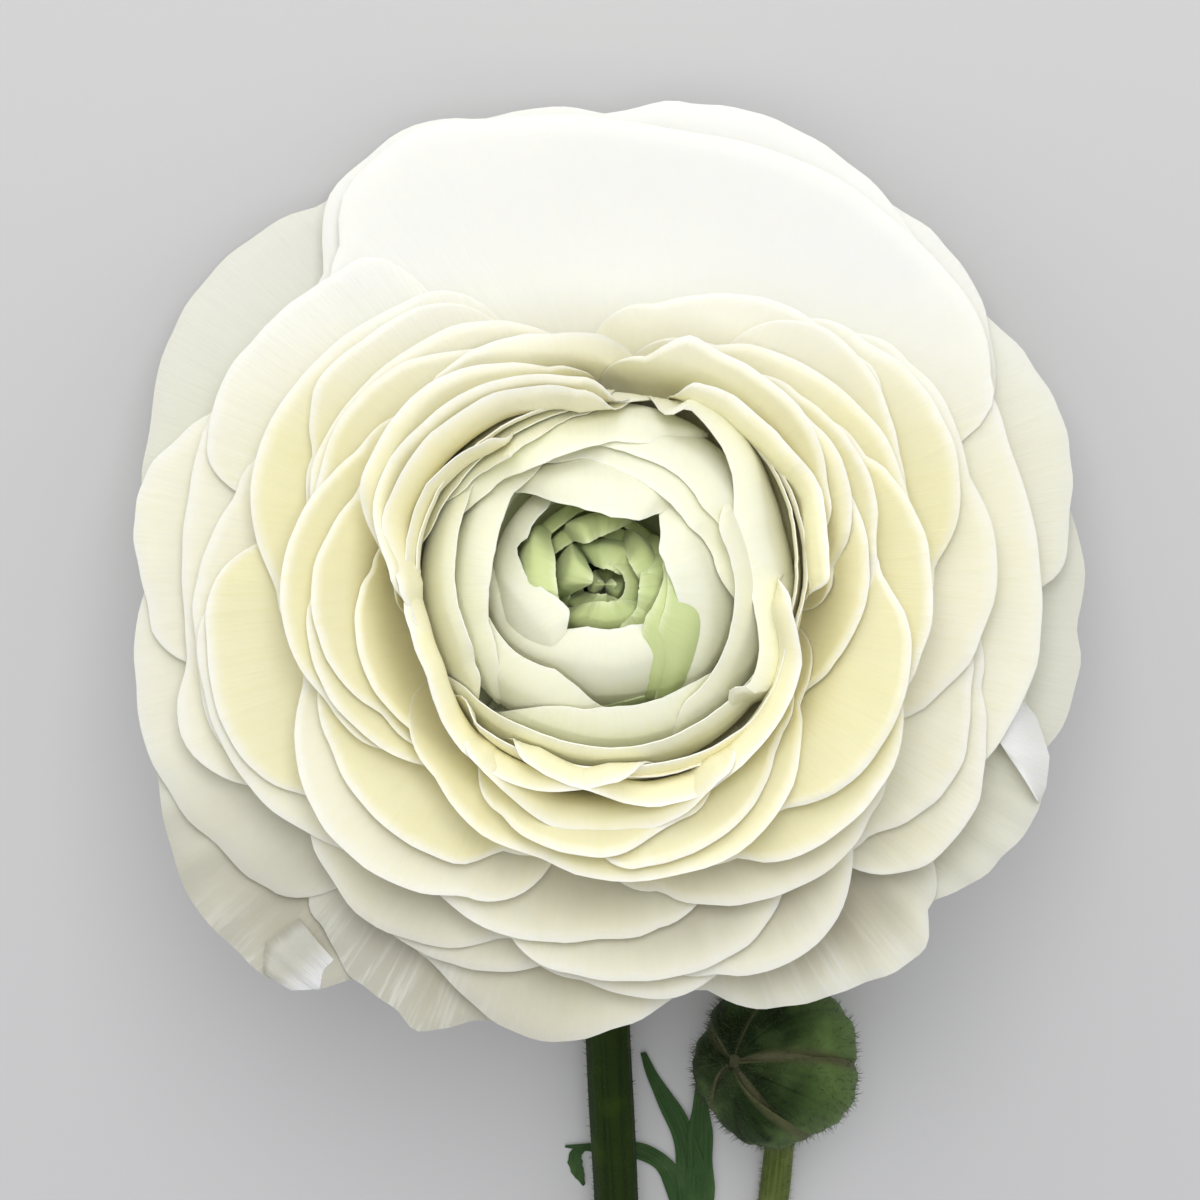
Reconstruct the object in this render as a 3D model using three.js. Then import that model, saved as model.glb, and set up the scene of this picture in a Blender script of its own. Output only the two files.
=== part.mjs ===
// A double ranunculus, as picked: a many-petalled bloom on its cut stem, lying on a flat surface, with
// the leaf and the bud of one side shoot.
//
// Units are millimetres, +Z is up and the surface is z = 0. The stem runs along +Y, and the bloom faces
// up and a little towards -Y, with its far petals on the surface.
//
// Every petal lies on one of a family of nested bowls about the bloom's axis. A bowl is named by its
// layer: 0 is closed round the axis and 1 is nearly flat. Petals on separate layers can't cross.

import * as THREE from 'three';

// ---------------------------------------------------------------- driving dimensions

const BLOOM_CENTRE = new THREE.Vector3(-0.06, -52.66, 23.4); // middle of the receptacle
const BLOOM_RISE = 62; // degrees from the surface up to the bloom's axis

const CLAW_RADIUS = 7.5; // where petals start, from the middle of the receptacle
const CLAW_HALF_WIDTH = 13; // degrees, at a petal's foot
const PETAL_THICKNESS = 0.35;
const SEPAL_THICKNESS = 0.5;
const SEAT_GAP = 0.3; // between a piece and what carries it

const INNER_ANGLE = 2; // degrees between the axis and the innermost bowl
const OUTER_ANGLE = 100; // degrees between the axis and the outermost bowl
const BOWL_FOOT = 13; // distance at which a bowl starts to close
const BOWL_RIM = 30; // distance at which it has its full shape
const CLOSED_LAYER = 0.48; // bowls below this layer bend in over the middle

const CUP_RIM = 19; // radius of the first open petals' rims, and the layer they lie on
const CUP_LAYER = 0.61;
const OUTER_RIM = 49; // radius of the outermost rims, and the layer the first of them lies on
const OUTER_LAYER = 0.9;

const SHARED_FOOT_STEP = 0.055; // least steps in layer between petals that overlap
const EYE_STEP = 0.055;
const BALL_STEP = 0.044;
const OPEN_STEP = 0.026;
const LAST_EYE_LAYER = 0.45;
const LAST_BALL_LAYER = 0.7;

const RIM_ROUNDNESS = 2.4; // exponent of a petal's outline: 2 is an ellipse, more is squarer
const SHOULDER = 0.55; // where a petal's side edges end, from foot to tip
const FLARE = 2.5; // how quickly a petal widens above its foot

const STEM_RADIUS = 2.5;
const STALK_RADIUS = 1.7;
const BUD_RADIUS = 8.6;
const LEAF_THICKNESS = 0.5;

// ---------------------------------------------------------------- materials

const material = (color, roughness) => new THREE.MeshStandardMaterial({ color, roughness, metalness: 0 });
const WHITE_PETAL = material('#f1efe6', 0.6);
const CREAM_PETAL = material('#f3efcf', 0.6);
const GREEN_PETAL = material('#cfd79a', 0.6);
const SEPAL_GREEN = material('#55713a', 0.75);
const STEM_GREEN = material('#3f5a2c', 0.65);
const STALK_GREEN = material('#6f8f4a', 0.65);
const LEAF_GREEN = material('#3f6650', 0.7);

// ---------------------------------------------------------------- petals, from the eye outwards

// Angle runs anticlockwise round the axis from the bloom's right, in degrees. Half is half the petal's
// width in degrees. A petal that bends in over the middle has a length, from the middle of the
// receptacle to its tip, and one that stands open has the radius of its rim instead.
const PETALS = [
  { name: 'eye_petal_low_left', angle: 200, half: 55, layer: 0.13, length: 23.5, material: GREEN_PETAL },
  { name: 'eye_petal_top', angle: 80, half: 55, layer: 0.13, length: 25, material: GREEN_PETAL },
  { name: 'eye_petal_bottom', angle: 277, half: 60, layer: 0.2, length: 25.5, material: GREEN_PETAL },
  { name: 'eye_petal_left', angle: 160, half: 48, layer: 0.24, length: 27, material: GREEN_PETAL },
  { name: 'eye_petal_right', angle: 8, half: 48, layer: 0.27, length: 27.5, material: GREEN_PETAL },
  { name: 'eye_petal_low_right', angle: 318, half: 42, layer: 0.34, length: 28.5, material: GREEN_PETAL },
  { name: 'ball_petal_left', angle: 166, half: 48, layer: 0.4, length: 29.5, material: CREAM_PETAL },
  { name: 'ball_petal_right', angle: 358, half: 50, layer: 0.4, length: 29.5, material: CREAM_PETAL },
  { name: 'ball_petal_bottom', angle: 262, half: 52, layer: 0.4, length: 30.5, material: CREAM_PETAL },
  { name: 'ball_petal_top', angle: 97, half: 52, layer: 0.47, length: 31, material: CREAM_PETAL },
  { name: 'ball_petal_top_right', angle: 52, half: 44, layer: 0.49, length: 31.5, material: CREAM_PETAL },
  { name: 'ball_petal_low_left', angle: 212, half: 42, layer: 0.52, length: 31.5, material: CREAM_PETAL },
  { name: 'ball_petal_low_right', angle: 308, half: 42, layer: 0.515, length: 31.5, material: CREAM_PETAL },
  { name: 'ball_petal_top_left', angle: 125, half: 42, layer: 0.53, length: 32, material: CREAM_PETAL },
  { name: 'ball_petal_crown', angle: 78, half: 42, layer: 0.56, length: 32.5, material: CREAM_PETAL },
  { name: 'cup_petal_right', angle: 32, half: 42, rim: 20, material: CREAM_PETAL },
  { name: 'cup_petal_bottom', angle: 252, half: 44, rim: 21.8, material: CREAM_PETAL },
  { name: 'cup_petal_top', angle: 118, half: 46, rim: 26, material: CREAM_PETAL },
  { name: 'cup_petal_low_left', angle: 198, half: 38, rim: 25.6, material: CREAM_PETAL },
  { name: 'cup_petal_low_right', angle: 330, half: 34, rim: 27, material: CREAM_PETAL },
  { name: 'cup_petal_top_right', angle: 46, half: 34, rim: 26.2, material: CREAM_PETAL },
  { name: 'middle_petal_bottom', angle: 264, half: 32, rim: 27.4, material: WHITE_PETAL },
  { name: 'middle_petal_left', angle: 176, half: 34, rim: 30.8, material: CREAM_PETAL },
  { name: 'middle_petal_top_left', angle: 139, half: 33, rim: 32, material: CREAM_PETAL },
  { name: 'middle_petal_low_right', angle: 318, half: 32, rim: 33.5, material: WHITE_PETAL },
  { name: 'middle_petal_right', angle: 2, half: 28, rim: 33, material: CREAM_PETAL },
  { name: 'middle_petal_top_right', angle: 40, half: 32, rim: 32, material: CREAM_PETAL },
  { name: 'middle_petal_low_left', angle: 224, half: 30, rim: 35, material: WHITE_PETAL },
  { name: 'broad_petal_bottom', angle: 290, half: 28, rim: 36.2, material: WHITE_PETAL },
  { name: 'broad_petal_left', angle: 163, half: 30, rim: 37.2, material: CREAM_PETAL },
  { name: 'broad_petal_right', angle: 12, half: 27, rim: 38.5, material: CREAM_PETAL },
  { name: 'broad_petal_low_bottom', angle: 255, half: 28, rim: 38.5, material: WHITE_PETAL },
  { name: 'broad_petal_low_left', angle: 207, half: 26, rim: 41, material: WHITE_PETAL },
  { name: 'broad_petal_low_right', angle: 312, half: 27, rim: 42, material: WHITE_PETAL },
  { name: 'broad_petal_far_right', angle: 352, half: 28, rim: 43.6, material: WHITE_PETAL },
  { name: 'broad_petal_top_left', angle: 143, half: 26, rim: 43.3, material: WHITE_PETAL },
  { name: 'outer_petal_top_right', angle: 71, half: 30, rim: 49.6, material: WHITE_PETAL },
  { name: 'outer_petal_left', angle: 181, half: 26, rim: 47.8, material: WHITE_PETAL },
  { name: 'outer_petal_bottom', angle: 262, half: 26, rim: 46.4, material: WHITE_PETAL },
  { name: 'outer_petal_low_right', angle: 304, half: 24, rim: 49.4, material: WHITE_PETAL },
  { name: 'outer_petal_top', angle: 109, half: 26, rim: 49.8, material: WHITE_PETAL },
  { name: 'outer_petal_low_left', angle: 221, half: 25, rim: 52, material: WHITE_PETAL },
  { name: 'outer_petal_right', angle: 24, half: 28, rim: 48.5, material: WHITE_PETAL },
  { name: 'outer_petal_far_right', angle: 342, half: 27, rim: 48.8, material: WHITE_PETAL },
  { name: 'outer_petal_top_left', angle: 147, half: 27, rim: 50.2, material: WHITE_PETAL },
];
const PETAL_COLUMNS = 8;
const PETAL_ROWS = 5;

// ---------------------------------------------------------------- the family of bowls

const radians = THREE.MathUtils.degToRad;

// How far the tip of a bowl leans out: small up to CLOSED_LAYER, then rising to 1 at layer 1.
function tipSpread(layer) {
  const open = layer - CLOSED_LAYER;
  return 0.15 * layer + 0.8 * (Math.hypot(open, 0.1) + open);
}

// Angle between the axis and a bowl's wall, at a distance from the middle of the receptacle.
function bowlAngle(layer, distance) {
  const closing = THREE.MathUtils.smoothstep(distance, BOWL_FOOT, BOWL_RIM);
  const spread = THREE.MathUtils.lerp(layer, tipSpread(layer), closing);
  return radians(INNER_ANGLE + (OUTER_ANGLE - INNER_ANGLE) * spread);
}

function bowlPoint(layer, distance, turn) {
  const lean = bowlAngle(layer, distance);
  const radius = distance * Math.sin(lean);
  return new THREE.Vector3(radius * Math.cos(turn), radius * Math.sin(turn), distance * Math.cos(lean));
}

// The layer whose rim stands at a radius, for a bloom that is domed in the middle and flat outside.
function layerForRim(rim) {
  const outward = (rim - CUP_RIM) / (OUTER_RIM - CUP_RIM);
  return THREE.MathUtils.lerp(CUP_LAYER, OUTER_LAYER, outward ** 0.9);
}

// The distance at which a bowl has opened out to a radius.
function lengthForRim(layer, rim) {
  let short = BOWL_RIM - 4;
  let long = 1.3 * OUTER_RIM;
  for (let step = 0; step < 30; step += 1) {
    const middle = (short + long) / 2;
    if (middle * Math.sin(bowlAngle(layer, middle)) < rim) short = middle;
    else long = middle;
  }
  return short;
}

const angleBetween = (a, b) => Math.abs(THREE.MathUtils.euclideanModulo(a - b + 180, 360) - 180);

// The least step in layer that keeps two petals clear of each other: more where they share a foot,
// and more in the closed bowls, whose tips crowd together.
function layerStep(petal, other) {
  const apart = angleBetween(petal.angle, other.angle);
  if (apart > petal.half + other.half + 2) return 0;
  if (apart < 2 * CLAW_HALF_WIDTH + 3) return SHARED_FOOT_STEP;
  if (other.layer < LAST_EYE_LAYER) return EYE_STEP;
  return other.layer < LAST_BALL_LAYER ? BALL_STEP : OPEN_STEP;
}

// Give each petal its layer and length. It lies outside every earlier petal that it overlaps.
function nestPetals(petals) {
  const placed = [];
  for (const row of petals) {
    const petal = { ...row };
    petal.layer ??= layerForRim(petal.rim);
    for (const other of placed) {
      const step = layerStep(petal, other);
      if (step > 0) petal.layer = Math.max(petal.layer, other.layer + step);
    }
    petal.length ??= lengthForRim(petal.layer, petal.rim);
    placed.push(petal);
  }
  return placed;
}

// ---------------------------------------------------------------- geometry helpers

// A closed thin body from a grid of middle points, thickened half each way along their normals.
function sheetGeometry(middle, normal, columns, rows, thickness) {
  const positions = [];
  const front = (i, j) => i * (rows + 1) + j;
  const back = (i, j) => front(i, j) + (columns + 1) * (rows + 1);
  for (const side of [0.5, -0.5]) {
    for (let i = 0; i <= columns; i += 1) {
      for (let j = 0; j <= rows; j += 1) {
        const point = middle(i, j).addScaledVector(normal(i, j), side * thickness);
        positions.push(point.x, point.y, point.z);
      }
    }
  }
  const faces = [];
  const quad = (a, b, c, d) => faces.push(a, b, c, c, b, d);
  for (let i = 0; i < columns; i += 1) {
    for (let j = 0; j < rows; j += 1) {
      quad(front(i, j), front(i, j + 1), front(i + 1, j), front(i + 1, j + 1));
      quad(back(i, j), back(i + 1, j), back(i, j + 1), back(i + 1, j + 1));
    }
    quad(front(i, 0), front(i + 1, 0), back(i, 0), back(i + 1, 0));
    quad(front(i, rows), back(i, rows), front(i + 1, rows), back(i + 1, rows));
  }
  for (let j = 0; j < rows; j += 1) {
    quad(front(0, j), back(0, j), front(0, j + 1), back(0, j + 1));
    quad(front(columns, j), front(columns, j + 1), back(columns, j), back(columns, j + 1));
  }
  const geometry = new THREE.BufferGeometry();
  geometry.setAttribute('position', new THREE.Float32BufferAttribute(positions, 3));
  geometry.setIndex(faces);
  geometry.computeVertexNormals();
  return geometry;
}

// A petal on its bowl: a narrow foot, widest about half way, with a broad rounded rim.
function petalGeometry({ angle, half, layer, length }, thickness) {
  const side = THREE.MathUtils.lerp(CLAW_RADIUS, length, SHOULDER);
  const place = (i, j) => {
    const even = (2 * i) / PETAL_COLUMNS - 1;
    const across = THREE.MathUtils.lerp(even, Math.sin(even * (Math.PI / 2)), 0.6);
    const up = j / PETAL_ROWS;
    const round = (1 - Math.abs(across) ** RIM_ROUNDNESS) ** (1 / RIM_ROUNDNESS);
    const rim = THREE.MathUtils.lerp(side, length, round);
    const width = CLAW_HALF_WIDTH + (half - CLAW_HALF_WIDTH) * (1 - (1 - up) ** FLARE);
    return {
      distance: THREE.MathUtils.lerp(CLAW_RADIUS, rim, up),
      turn: radians(angle + across * width),
    };
  };
  const middle = (i, j) => {
    const { distance, turn } = place(i, j);
    return bowlPoint(layer, distance, turn);
  };
  const normal = (i, j) => {
    const { distance, turn } = place(i, j);
    const along = bowlPoint(layer, distance + 0.01, turn).sub(bowlPoint(layer, distance - 0.01, turn));
    const round = new THREE.Vector3(-Math.sin(turn), Math.cos(turn), 0);
    return along.cross(round).normalize();
  };
  return sheetGeometry(middle, normal, PETAL_COLUMNS, PETAL_ROWS, thickness);
}

// A solid turned about the local z axis from a profile of [radius, z] points.
function turnedGeometry(profile, segments) {
  const points = profile.map(([radius, z]) => new THREE.Vector2(radius, z));
  return new THREE.LatheGeometry(points, segments).rotateX(Math.PI / 2);
}

// A round rod of one thickness along a smooth curve through points.
function rodGeometry(points, radius, steps) {
  const section = new THREE.Shape().absarc(0, 0, radius, 0, 2 * Math.PI);
  const extrudePath = new THREE.CatmullRomCurve3(points.map((point) => new THREE.Vector3(...point)));
  return new THREE.ExtrudeGeometry(section, { extrudePath, steps, curveSegments: 6 });
}

function named(name, geometry, look) {
  const mesh = new THREE.Mesh(geometry, look);
  mesh.name = name;
  return mesh;
}

// ---------------------------------------------------------------- bloom

const RECEPTACLE_RADIUS = CLAW_RADIUS - SEAT_GAP;
const NECK_RADIUS = 3.1;
const NECK_END = -10.2; // along the axis, where the receptacle meets the stem

function receptacle() {
  const profile = [[0, NECK_END], [NECK_RADIUS, NECK_END], [NECK_RADIUS + 0.4, NECK_END + 2]];
  for (let lean = 130; lean >= 0; lean -= 13) {
    const angle = radians(lean);
    profile.push([RECEPTACLE_RADIUS * Math.sin(angle), RECEPTACLE_RADIUS * Math.cos(angle)]);
  }
  return named('receptacle', turnedGeometry(profile, 20), STEM_GREEN);
}

// Five sepals under the outer petals, bent back a little.
function sepals() {
  const count = 5;
  return Array.from({ length: count }, (_, k) => {
    const sepal = { angle: 54 + (360 / count) * k, half: 24, layer: 1.22, length: 21 };
    return named(`sepal_${k + 1}`, petalGeometry(sepal, SEPAL_THICKNESS), SEPAL_GREEN);
  });
}

function bloom() {
  const rise = radians(BLOOM_RISE);
  const axis = new THREE.Vector3(0, -Math.cos(rise), Math.sin(rise));
  const right = new THREE.Vector3(-1, 0, 0);
  const up = new THREE.Vector3().crossVectors(axis, right);
  const group = new THREE.Group();
  group.quaternion.setFromRotationMatrix(new THREE.Matrix4().makeBasis(right, up, axis));
  group.position.copy(BLOOM_CENTRE);
  group.add(receptacle(), ...sepals());
  for (const petal of nestPetals(PETALS)) {
    group.add(named(petal.name, petalGeometry(petal, PETAL_THICKNESS), petal.material));
  }
  return group;
}

// ---------------------------------------------------------------- stem, side shoot and leaf

// Points here are measured from below the middle of the bloom: [x, along the stem, height].
const STEM_TOP = NECK_END - SEAT_GAP - 0.15;

function stem() {
  const rise = radians(BLOOM_RISE);
  const top = [0, -STEM_TOP * Math.cos(rise), BLOOM_CENTRE.z + STEM_TOP * Math.sin(rise)];
  const below = [0, top[1] + 3.3 * Math.cos(rise), top[2] - 3.3 * Math.sin(rise)];
  const lying = [[0, 13.4, 5.3], [0, 22, 3.8], [0, 38, 3.6], [-0.2, 62, 3.6], [-1.2, 86, 3.6],
    [-2.1, 106, 3.6], [-2.9, 124, 2.65], [-3.6, 150, 2.6]];
  return named('stem', rodGeometry([top, below, ...lying], STEM_RADIUS, 34), STEM_GREEN);
}

const BUD_CENTRE = new THREE.Vector3(-18.8, 66.5, 9.15);
const BUD_FOOT = new THREE.Vector3(-0.1, 0.75, -0.65).normalize(); // from its centre to its stalk
const BUD_TIP = new THREE.Vector3(0.6, -0.45, 0.66).normalize(); // from its centre to where sepals meet

function budStalk() {
  const bud = BUD_CENTRE.clone();
  const foot = bud.clone().addScaledVector(BUD_FOOT, BUD_RADIUS + 0.2);
  const below = bud.clone().addScaledVector(BUD_FOOT, BUD_RADIUS + 2);
  const route = [[-7.4, 126, 2.3], [-9.8, 121.5, 1.95], [-14.8, 108, 1.85], [-18.4, 93, 1.85],
    [-19.6, 80, 1.85], below.toArray(), foot.toArray()];
  return named('bud_stalk', rodGeometry(route, STALK_RADIUS, 24), STALK_GREEN);
}

// The closed bud: a ball of young petals, wrapped by five sepals. It nods, so the place where the
// sepals meet isn't opposite the stalk: each ring of the ball is turned a little further than the last.
function bud() {
  const group = new THREE.Group();
  const forward = new THREE.Vector3(0, 0, 1);
  const upright = new THREE.Quaternion().setFromUnitVectors(forward, BUD_FOOT.clone().negate());
  const tip = BUD_TIP.clone().applyQuaternion(upright.clone().invert());
  const nod = new THREE.Quaternion().setFromUnitVectors(forward, tip);
  group.quaternion.copy(upright);
  group.position.copy(BUD_CENTRE);
  const core = new THREE.SphereGeometry(BUD_RADIUS - 1.5 * SEAT_GAP, 16, 10);
  group.add(named('bud_petals', core, CREAM_PETAL));
  const count = 5;
  const columns = 4;
  const rows = 7;
  for (let k = 0; k < count; k += 1) {
    const direction = (i, j) => {
      const up = j / rows;
      const lean = radians(THREE.MathUtils.lerp(158, 16, up));
      const width = radians(((2 * i) / columns - 1) * 34 * (1 - 0.35 * up ** 4));
      const turn = radians((360 / count) * k) + width;
      const upward = new THREE.Vector3(
        Math.sin(lean) * Math.cos(turn), Math.sin(lean) * Math.sin(turn), Math.cos(lean));
      return upward.applyQuaternion(new THREE.Quaternion().slerp(nod, up));
    };
    const middleRadius = BUD_RADIUS + SEPAL_THICKNESS / 2;
    const middle = (i, j) => direction(i, j).multiplyScalar(middleRadius);
    const inward = (i, j) => direction(i, j).negate();
    const geometry = sheetGeometry(middle, inward, columns, rows, SEPAL_THICKNESS);
    group.add(named(`bud_sepal_${k + 1}`, geometry, SEPAL_GREEN));
  }
  return group;
}

// A lobed leaf that lies flat, with one lobe under the stem.
function leaf() {
  const outline = new THREE.Shape();
  outline.moveTo(-4.9, 119);
  outline.lineTo(-6.2, 119);
  outline.quadraticCurveTo(-8.2, 108, -10.5, 100);
  outline.quadraticCurveTo(-13.4, 90, -10.6, 76);
  outline.quadraticCurveTo(-9.2, 72, -8.3, 77);
  outline.quadraticCurveTo(-8, 84, -6.4, 89);
  outline.quadraticCurveTo(-4.6, 80, -5.2, 71);
  outline.quadraticCurveTo(-3.6, 67, -2.6, 73);
  outline.quadraticCurveTo(-1.6, 82, -2.8, 93);
  outline.quadraticCurveTo(1.8, 88, 4.4, 80);
  outline.quadraticCurveTo(6.2, 78, 6, 83);
  outline.quadraticCurveTo(4, 95, -1.8, 103);
  outline.quadraticCurveTo(-4.4, 110, -4.9, 119);
  const geometry = new THREE.ExtrudeGeometry(outline, {
    depth: LEAF_THICKNESS,
    bevelEnabled: false,
    curveSegments: 4,
  });
  return named('leaf', geometry, LEAF_GREEN);
}

function stemAndShoot() {
  const group = new THREE.Group();
  group.position.set(BLOOM_CENTRE.x, BLOOM_CENTRE.y, 0);
  group.add(stem(), budStalk(), bud(), leaf());
  return group;
}

const flower = new THREE.Group();
flower.add(bloom(), stemAndShoot());
export default flower;
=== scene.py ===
# %% [markdown]
# # A double ranunculus, as picked
#
# This lesson dresses a plain model of a cut ranunculus. The plain model gives every petal, the stem, the
# leaf and the bud as simple closed solids at their real places. Here each one is remade as a thin, veined,
# slightly wavy piece, with a finish of its own, and lit as on a table by a window.
#
# The plain model is loaded first.

import math
from functools import partial

import bpy
import numpy as np
from mathutils import Matrix, Vector


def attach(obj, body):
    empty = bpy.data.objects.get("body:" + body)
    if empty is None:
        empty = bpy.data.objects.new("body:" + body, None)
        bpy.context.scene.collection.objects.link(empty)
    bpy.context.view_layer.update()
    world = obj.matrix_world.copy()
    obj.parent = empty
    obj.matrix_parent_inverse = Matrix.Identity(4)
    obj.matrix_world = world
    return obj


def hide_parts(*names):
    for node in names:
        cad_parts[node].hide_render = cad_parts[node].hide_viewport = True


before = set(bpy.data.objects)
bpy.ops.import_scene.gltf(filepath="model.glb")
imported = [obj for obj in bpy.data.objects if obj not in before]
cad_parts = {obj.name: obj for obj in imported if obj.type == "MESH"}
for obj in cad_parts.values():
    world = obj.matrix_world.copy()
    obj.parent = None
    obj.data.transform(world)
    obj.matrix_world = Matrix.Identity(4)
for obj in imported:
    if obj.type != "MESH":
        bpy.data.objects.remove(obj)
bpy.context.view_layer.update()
MM = 0.001

# %% [markdown]
# ## The bloom's own frame
#
# The bloom isn't upright: its axis rises 62 degrees from the table, and the petals furthest from the stem
# touch the table. A petal is much easier to describe in the bloom's own frame, with the origin in the
# middle of the receptacle, x to the bloom's right, y to its top and z along its axis towards whoever looks
# into it. One matrix then carries every point to the table.

# %% The bloom's own frame
BLOOM_PLACE = (-0.06, -52.66, 23.4)
BLOOM_CENTRE = Vector(BLOOM_PLACE) * MM
BLOOM_RISE = math.radians(62)
AXIS = Vector((0, -math.cos(BLOOM_RISE), math.sin(BLOOM_RISE)))
RIGHT = Vector((-1, 0, 0))
UP = AXIS.cross(RIGHT)
BLOOM_TURN = np.array([RIGHT, UP, AXIS])


def on_table(points):
    """Points in the bloom's frame, in millimetres, to points on the table, in metres."""
    return np.asarray(points) @ BLOOM_TURN * MM + np.array(BLOOM_CENTRE)


print("bloom axis", tuple(round(value, 3) for value in AXIS))

# %% [markdown]
# ## Camera
#
# The photograph looks straight into the bloom with a long lens, so the petals overlap with hardly any
# perspective. The camera therefore stands on the bloom's axis, well back, and its roll puts the stem at
# the bottom of the frame. The frame is 120 mm wide where the petals are.

# %% Camera
CAMERA_DISTANCE = 600 * MM
FRAME_WIDTH = 120 * MM
PETAL_PLANE = 10 * MM
SENSOR = 36
AIM_RIGHT, AIM_UP = -0.5 * MM, -1.5 * MM

camera_data = bpy.data.cameras.new("camera")
camera_data.sensor_width = SENSOR
camera_data.lens = SENSOR * (CAMERA_DISTANCE - PETAL_PLANE) / FRAME_WIDTH
camera = bpy.data.objects.new("camera", camera_data)
bpy.context.scene.collection.objects.link(camera)
camera_place = BLOOM_CENTRE + AXIS * CAMERA_DISTANCE + RIGHT * AIM_RIGHT + UP * AIM_UP
camera.matrix_world = Matrix.Translation(camera_place) @ Matrix((RIGHT, UP, AXIS)).transposed().to_4x4()
bpy.context.scene.camera = camera
print("lens", round(camera_data.lens, 1), "mm")

# %% [markdown]
# ## Lights
#
# Two wide, soft lights do most of the work. The window shines from the top of the picture, a little to the
# left, and brings out the rims. The sky stands close to the camera and lights all that looks forward, as a
# bright room does. A narrow spot then reaches into the heart of the bloom, where so many
# petals stand close together that little other light gets in. A pale world fills the shadows.

# %% Lights
ROOM_COLOUR = (0.985, 0.985, 1.0, 1.0)
ROOM_STRENGTH = 0.52


def place_light(name, data, place, away):
    """Put a light in the room. It shines back along the direction `away`, towards the bloom."""
    light = bpy.data.objects.new(name, data)
    bpy.context.scene.collection.objects.link(light)
    light.location = place
    light.rotation_euler = away.to_track_quat("Z", "Y").to_euler()


def soft_light(name, direction, distance, size, watts, colour):
    """A wide round light that looks at the bloom from a direction given in the bloom's frame."""
    data = bpy.data.lights.new(name, "AREA")
    data.shape = "DISK"
    data.size = size
    data.energy = watts
    data.color = colour
    away = (RIGHT * direction[0] + UP * direction[1] + AXIS * direction[2]).normalized()
    place_light(name, data, BLOOM_CENTRE + away * distance, away)


def narrow_light(name, place, cone, size, watts):
    """A spot that shines on the middle of the bloom only, with a soft edge."""
    data = bpy.data.lights.new(name, "SPOT")
    data.energy = watts
    data.spot_size = math.radians(cone)
    data.spot_blend = 1.0
    data.shadow_soft_size = size
    place_light(name, data, place, place - BLOOM_CENTRE)


soft_light(
    "window", direction=(-0.15, 1.0, 0.85), distance=0.9, size=0.7, watts=2.2, colour=(1.0, 0.99, 0.97)
)
soft_light("sky", direction=(0.02, 0.2, 1.0), distance=1.0, size=0.6, watts=4.65, colour=(1.0, 1.0, 1.0))
narrow_light("heart", BLOOM_CENTRE + AXIS * 1.0 - UP * 0.3, cone=3.4, size=0.015, watts=8.0)

room = bpy.data.worlds.new("room")
bpy.context.scene.world = room
room.use_nodes = True
room.node_tree.nodes["Background"].inputs["Color"].default_value = ROOM_COLOUR
room.node_tree.nodes["Background"].inputs["Strength"].default_value = ROOM_STRENGTH
bpy.context.scene.view_settings.view_transform = "Standard"
print("lights:", [light.name for light in bpy.data.lights])

# %% [markdown]
# ## Floor
#
# The table is one large pale sheet. It isn't part of the flower. An operator acts on all that is selected,
# and the plain model is selected after loading, so nothing is picked first.

# %% Floor
FLOOR_SIZE = 6


def pick_nothing():
    bpy.ops.object.select_all(action="DESELECT")


pick_nothing()
bpy.ops.mesh.primitive_plane_add(size=FLOOR_SIZE, location=(0, 0, 0))
floor = bpy.context.object
floor.name = "floor"
print("floor:", FLOOR_SIZE, "m each way")

# %% [markdown]
# ## Shader maths as expressions
#
# A material is a graph of nodes, and a graph is hard to read as code. These two small classes let it be
# written as sums: `Value` wraps an output, its operators add Math nodes, and `Finish.node` makes any other
# node from its type, its settings and the values of its sockets. A Mix node keeps its share between 0 and
# 1 by itself, so a share may run past them.

# %% Shader maths as expressions


class Value:
    """One output of a node, with arithmetic."""

    def __init__(self, finish, socket):
        self.finish = finish
        self.socket = socket

    def _maths(self, operation, *terms):
        return self.finish.node("ShaderNodeMath", {"operation": operation}, dict(enumerate(terms)))

    def __add__(self, other):
        return self._maths("ADD", self, other)

    def __radd__(self, other):
        return self._maths("ADD", other, self)

    def __sub__(self, other):
        return self._maths("SUBTRACT", self, other)

    def __rsub__(self, other):
        return self._maths("SUBTRACT", other, self)

    def __mul__(self, other):
        return self._maths("MULTIPLY", self, other)

    def __rmul__(self, other):
        return self._maths("MULTIPLY", other, self)

    def size(self):
        return self._maths("ABSOLUTE", self)

    def ramp(self, start, end):
        """0 at start and 1 at end, with soft ends. The end may be the lower one."""
        settings = {"interpolation_type": "SMOOTHSTEP"}
        sockets = {"Value": self, "From Min": start, "From Max": end}
        return self.finish.node("ShaderNodeMapRange", settings, sockets)


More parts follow.
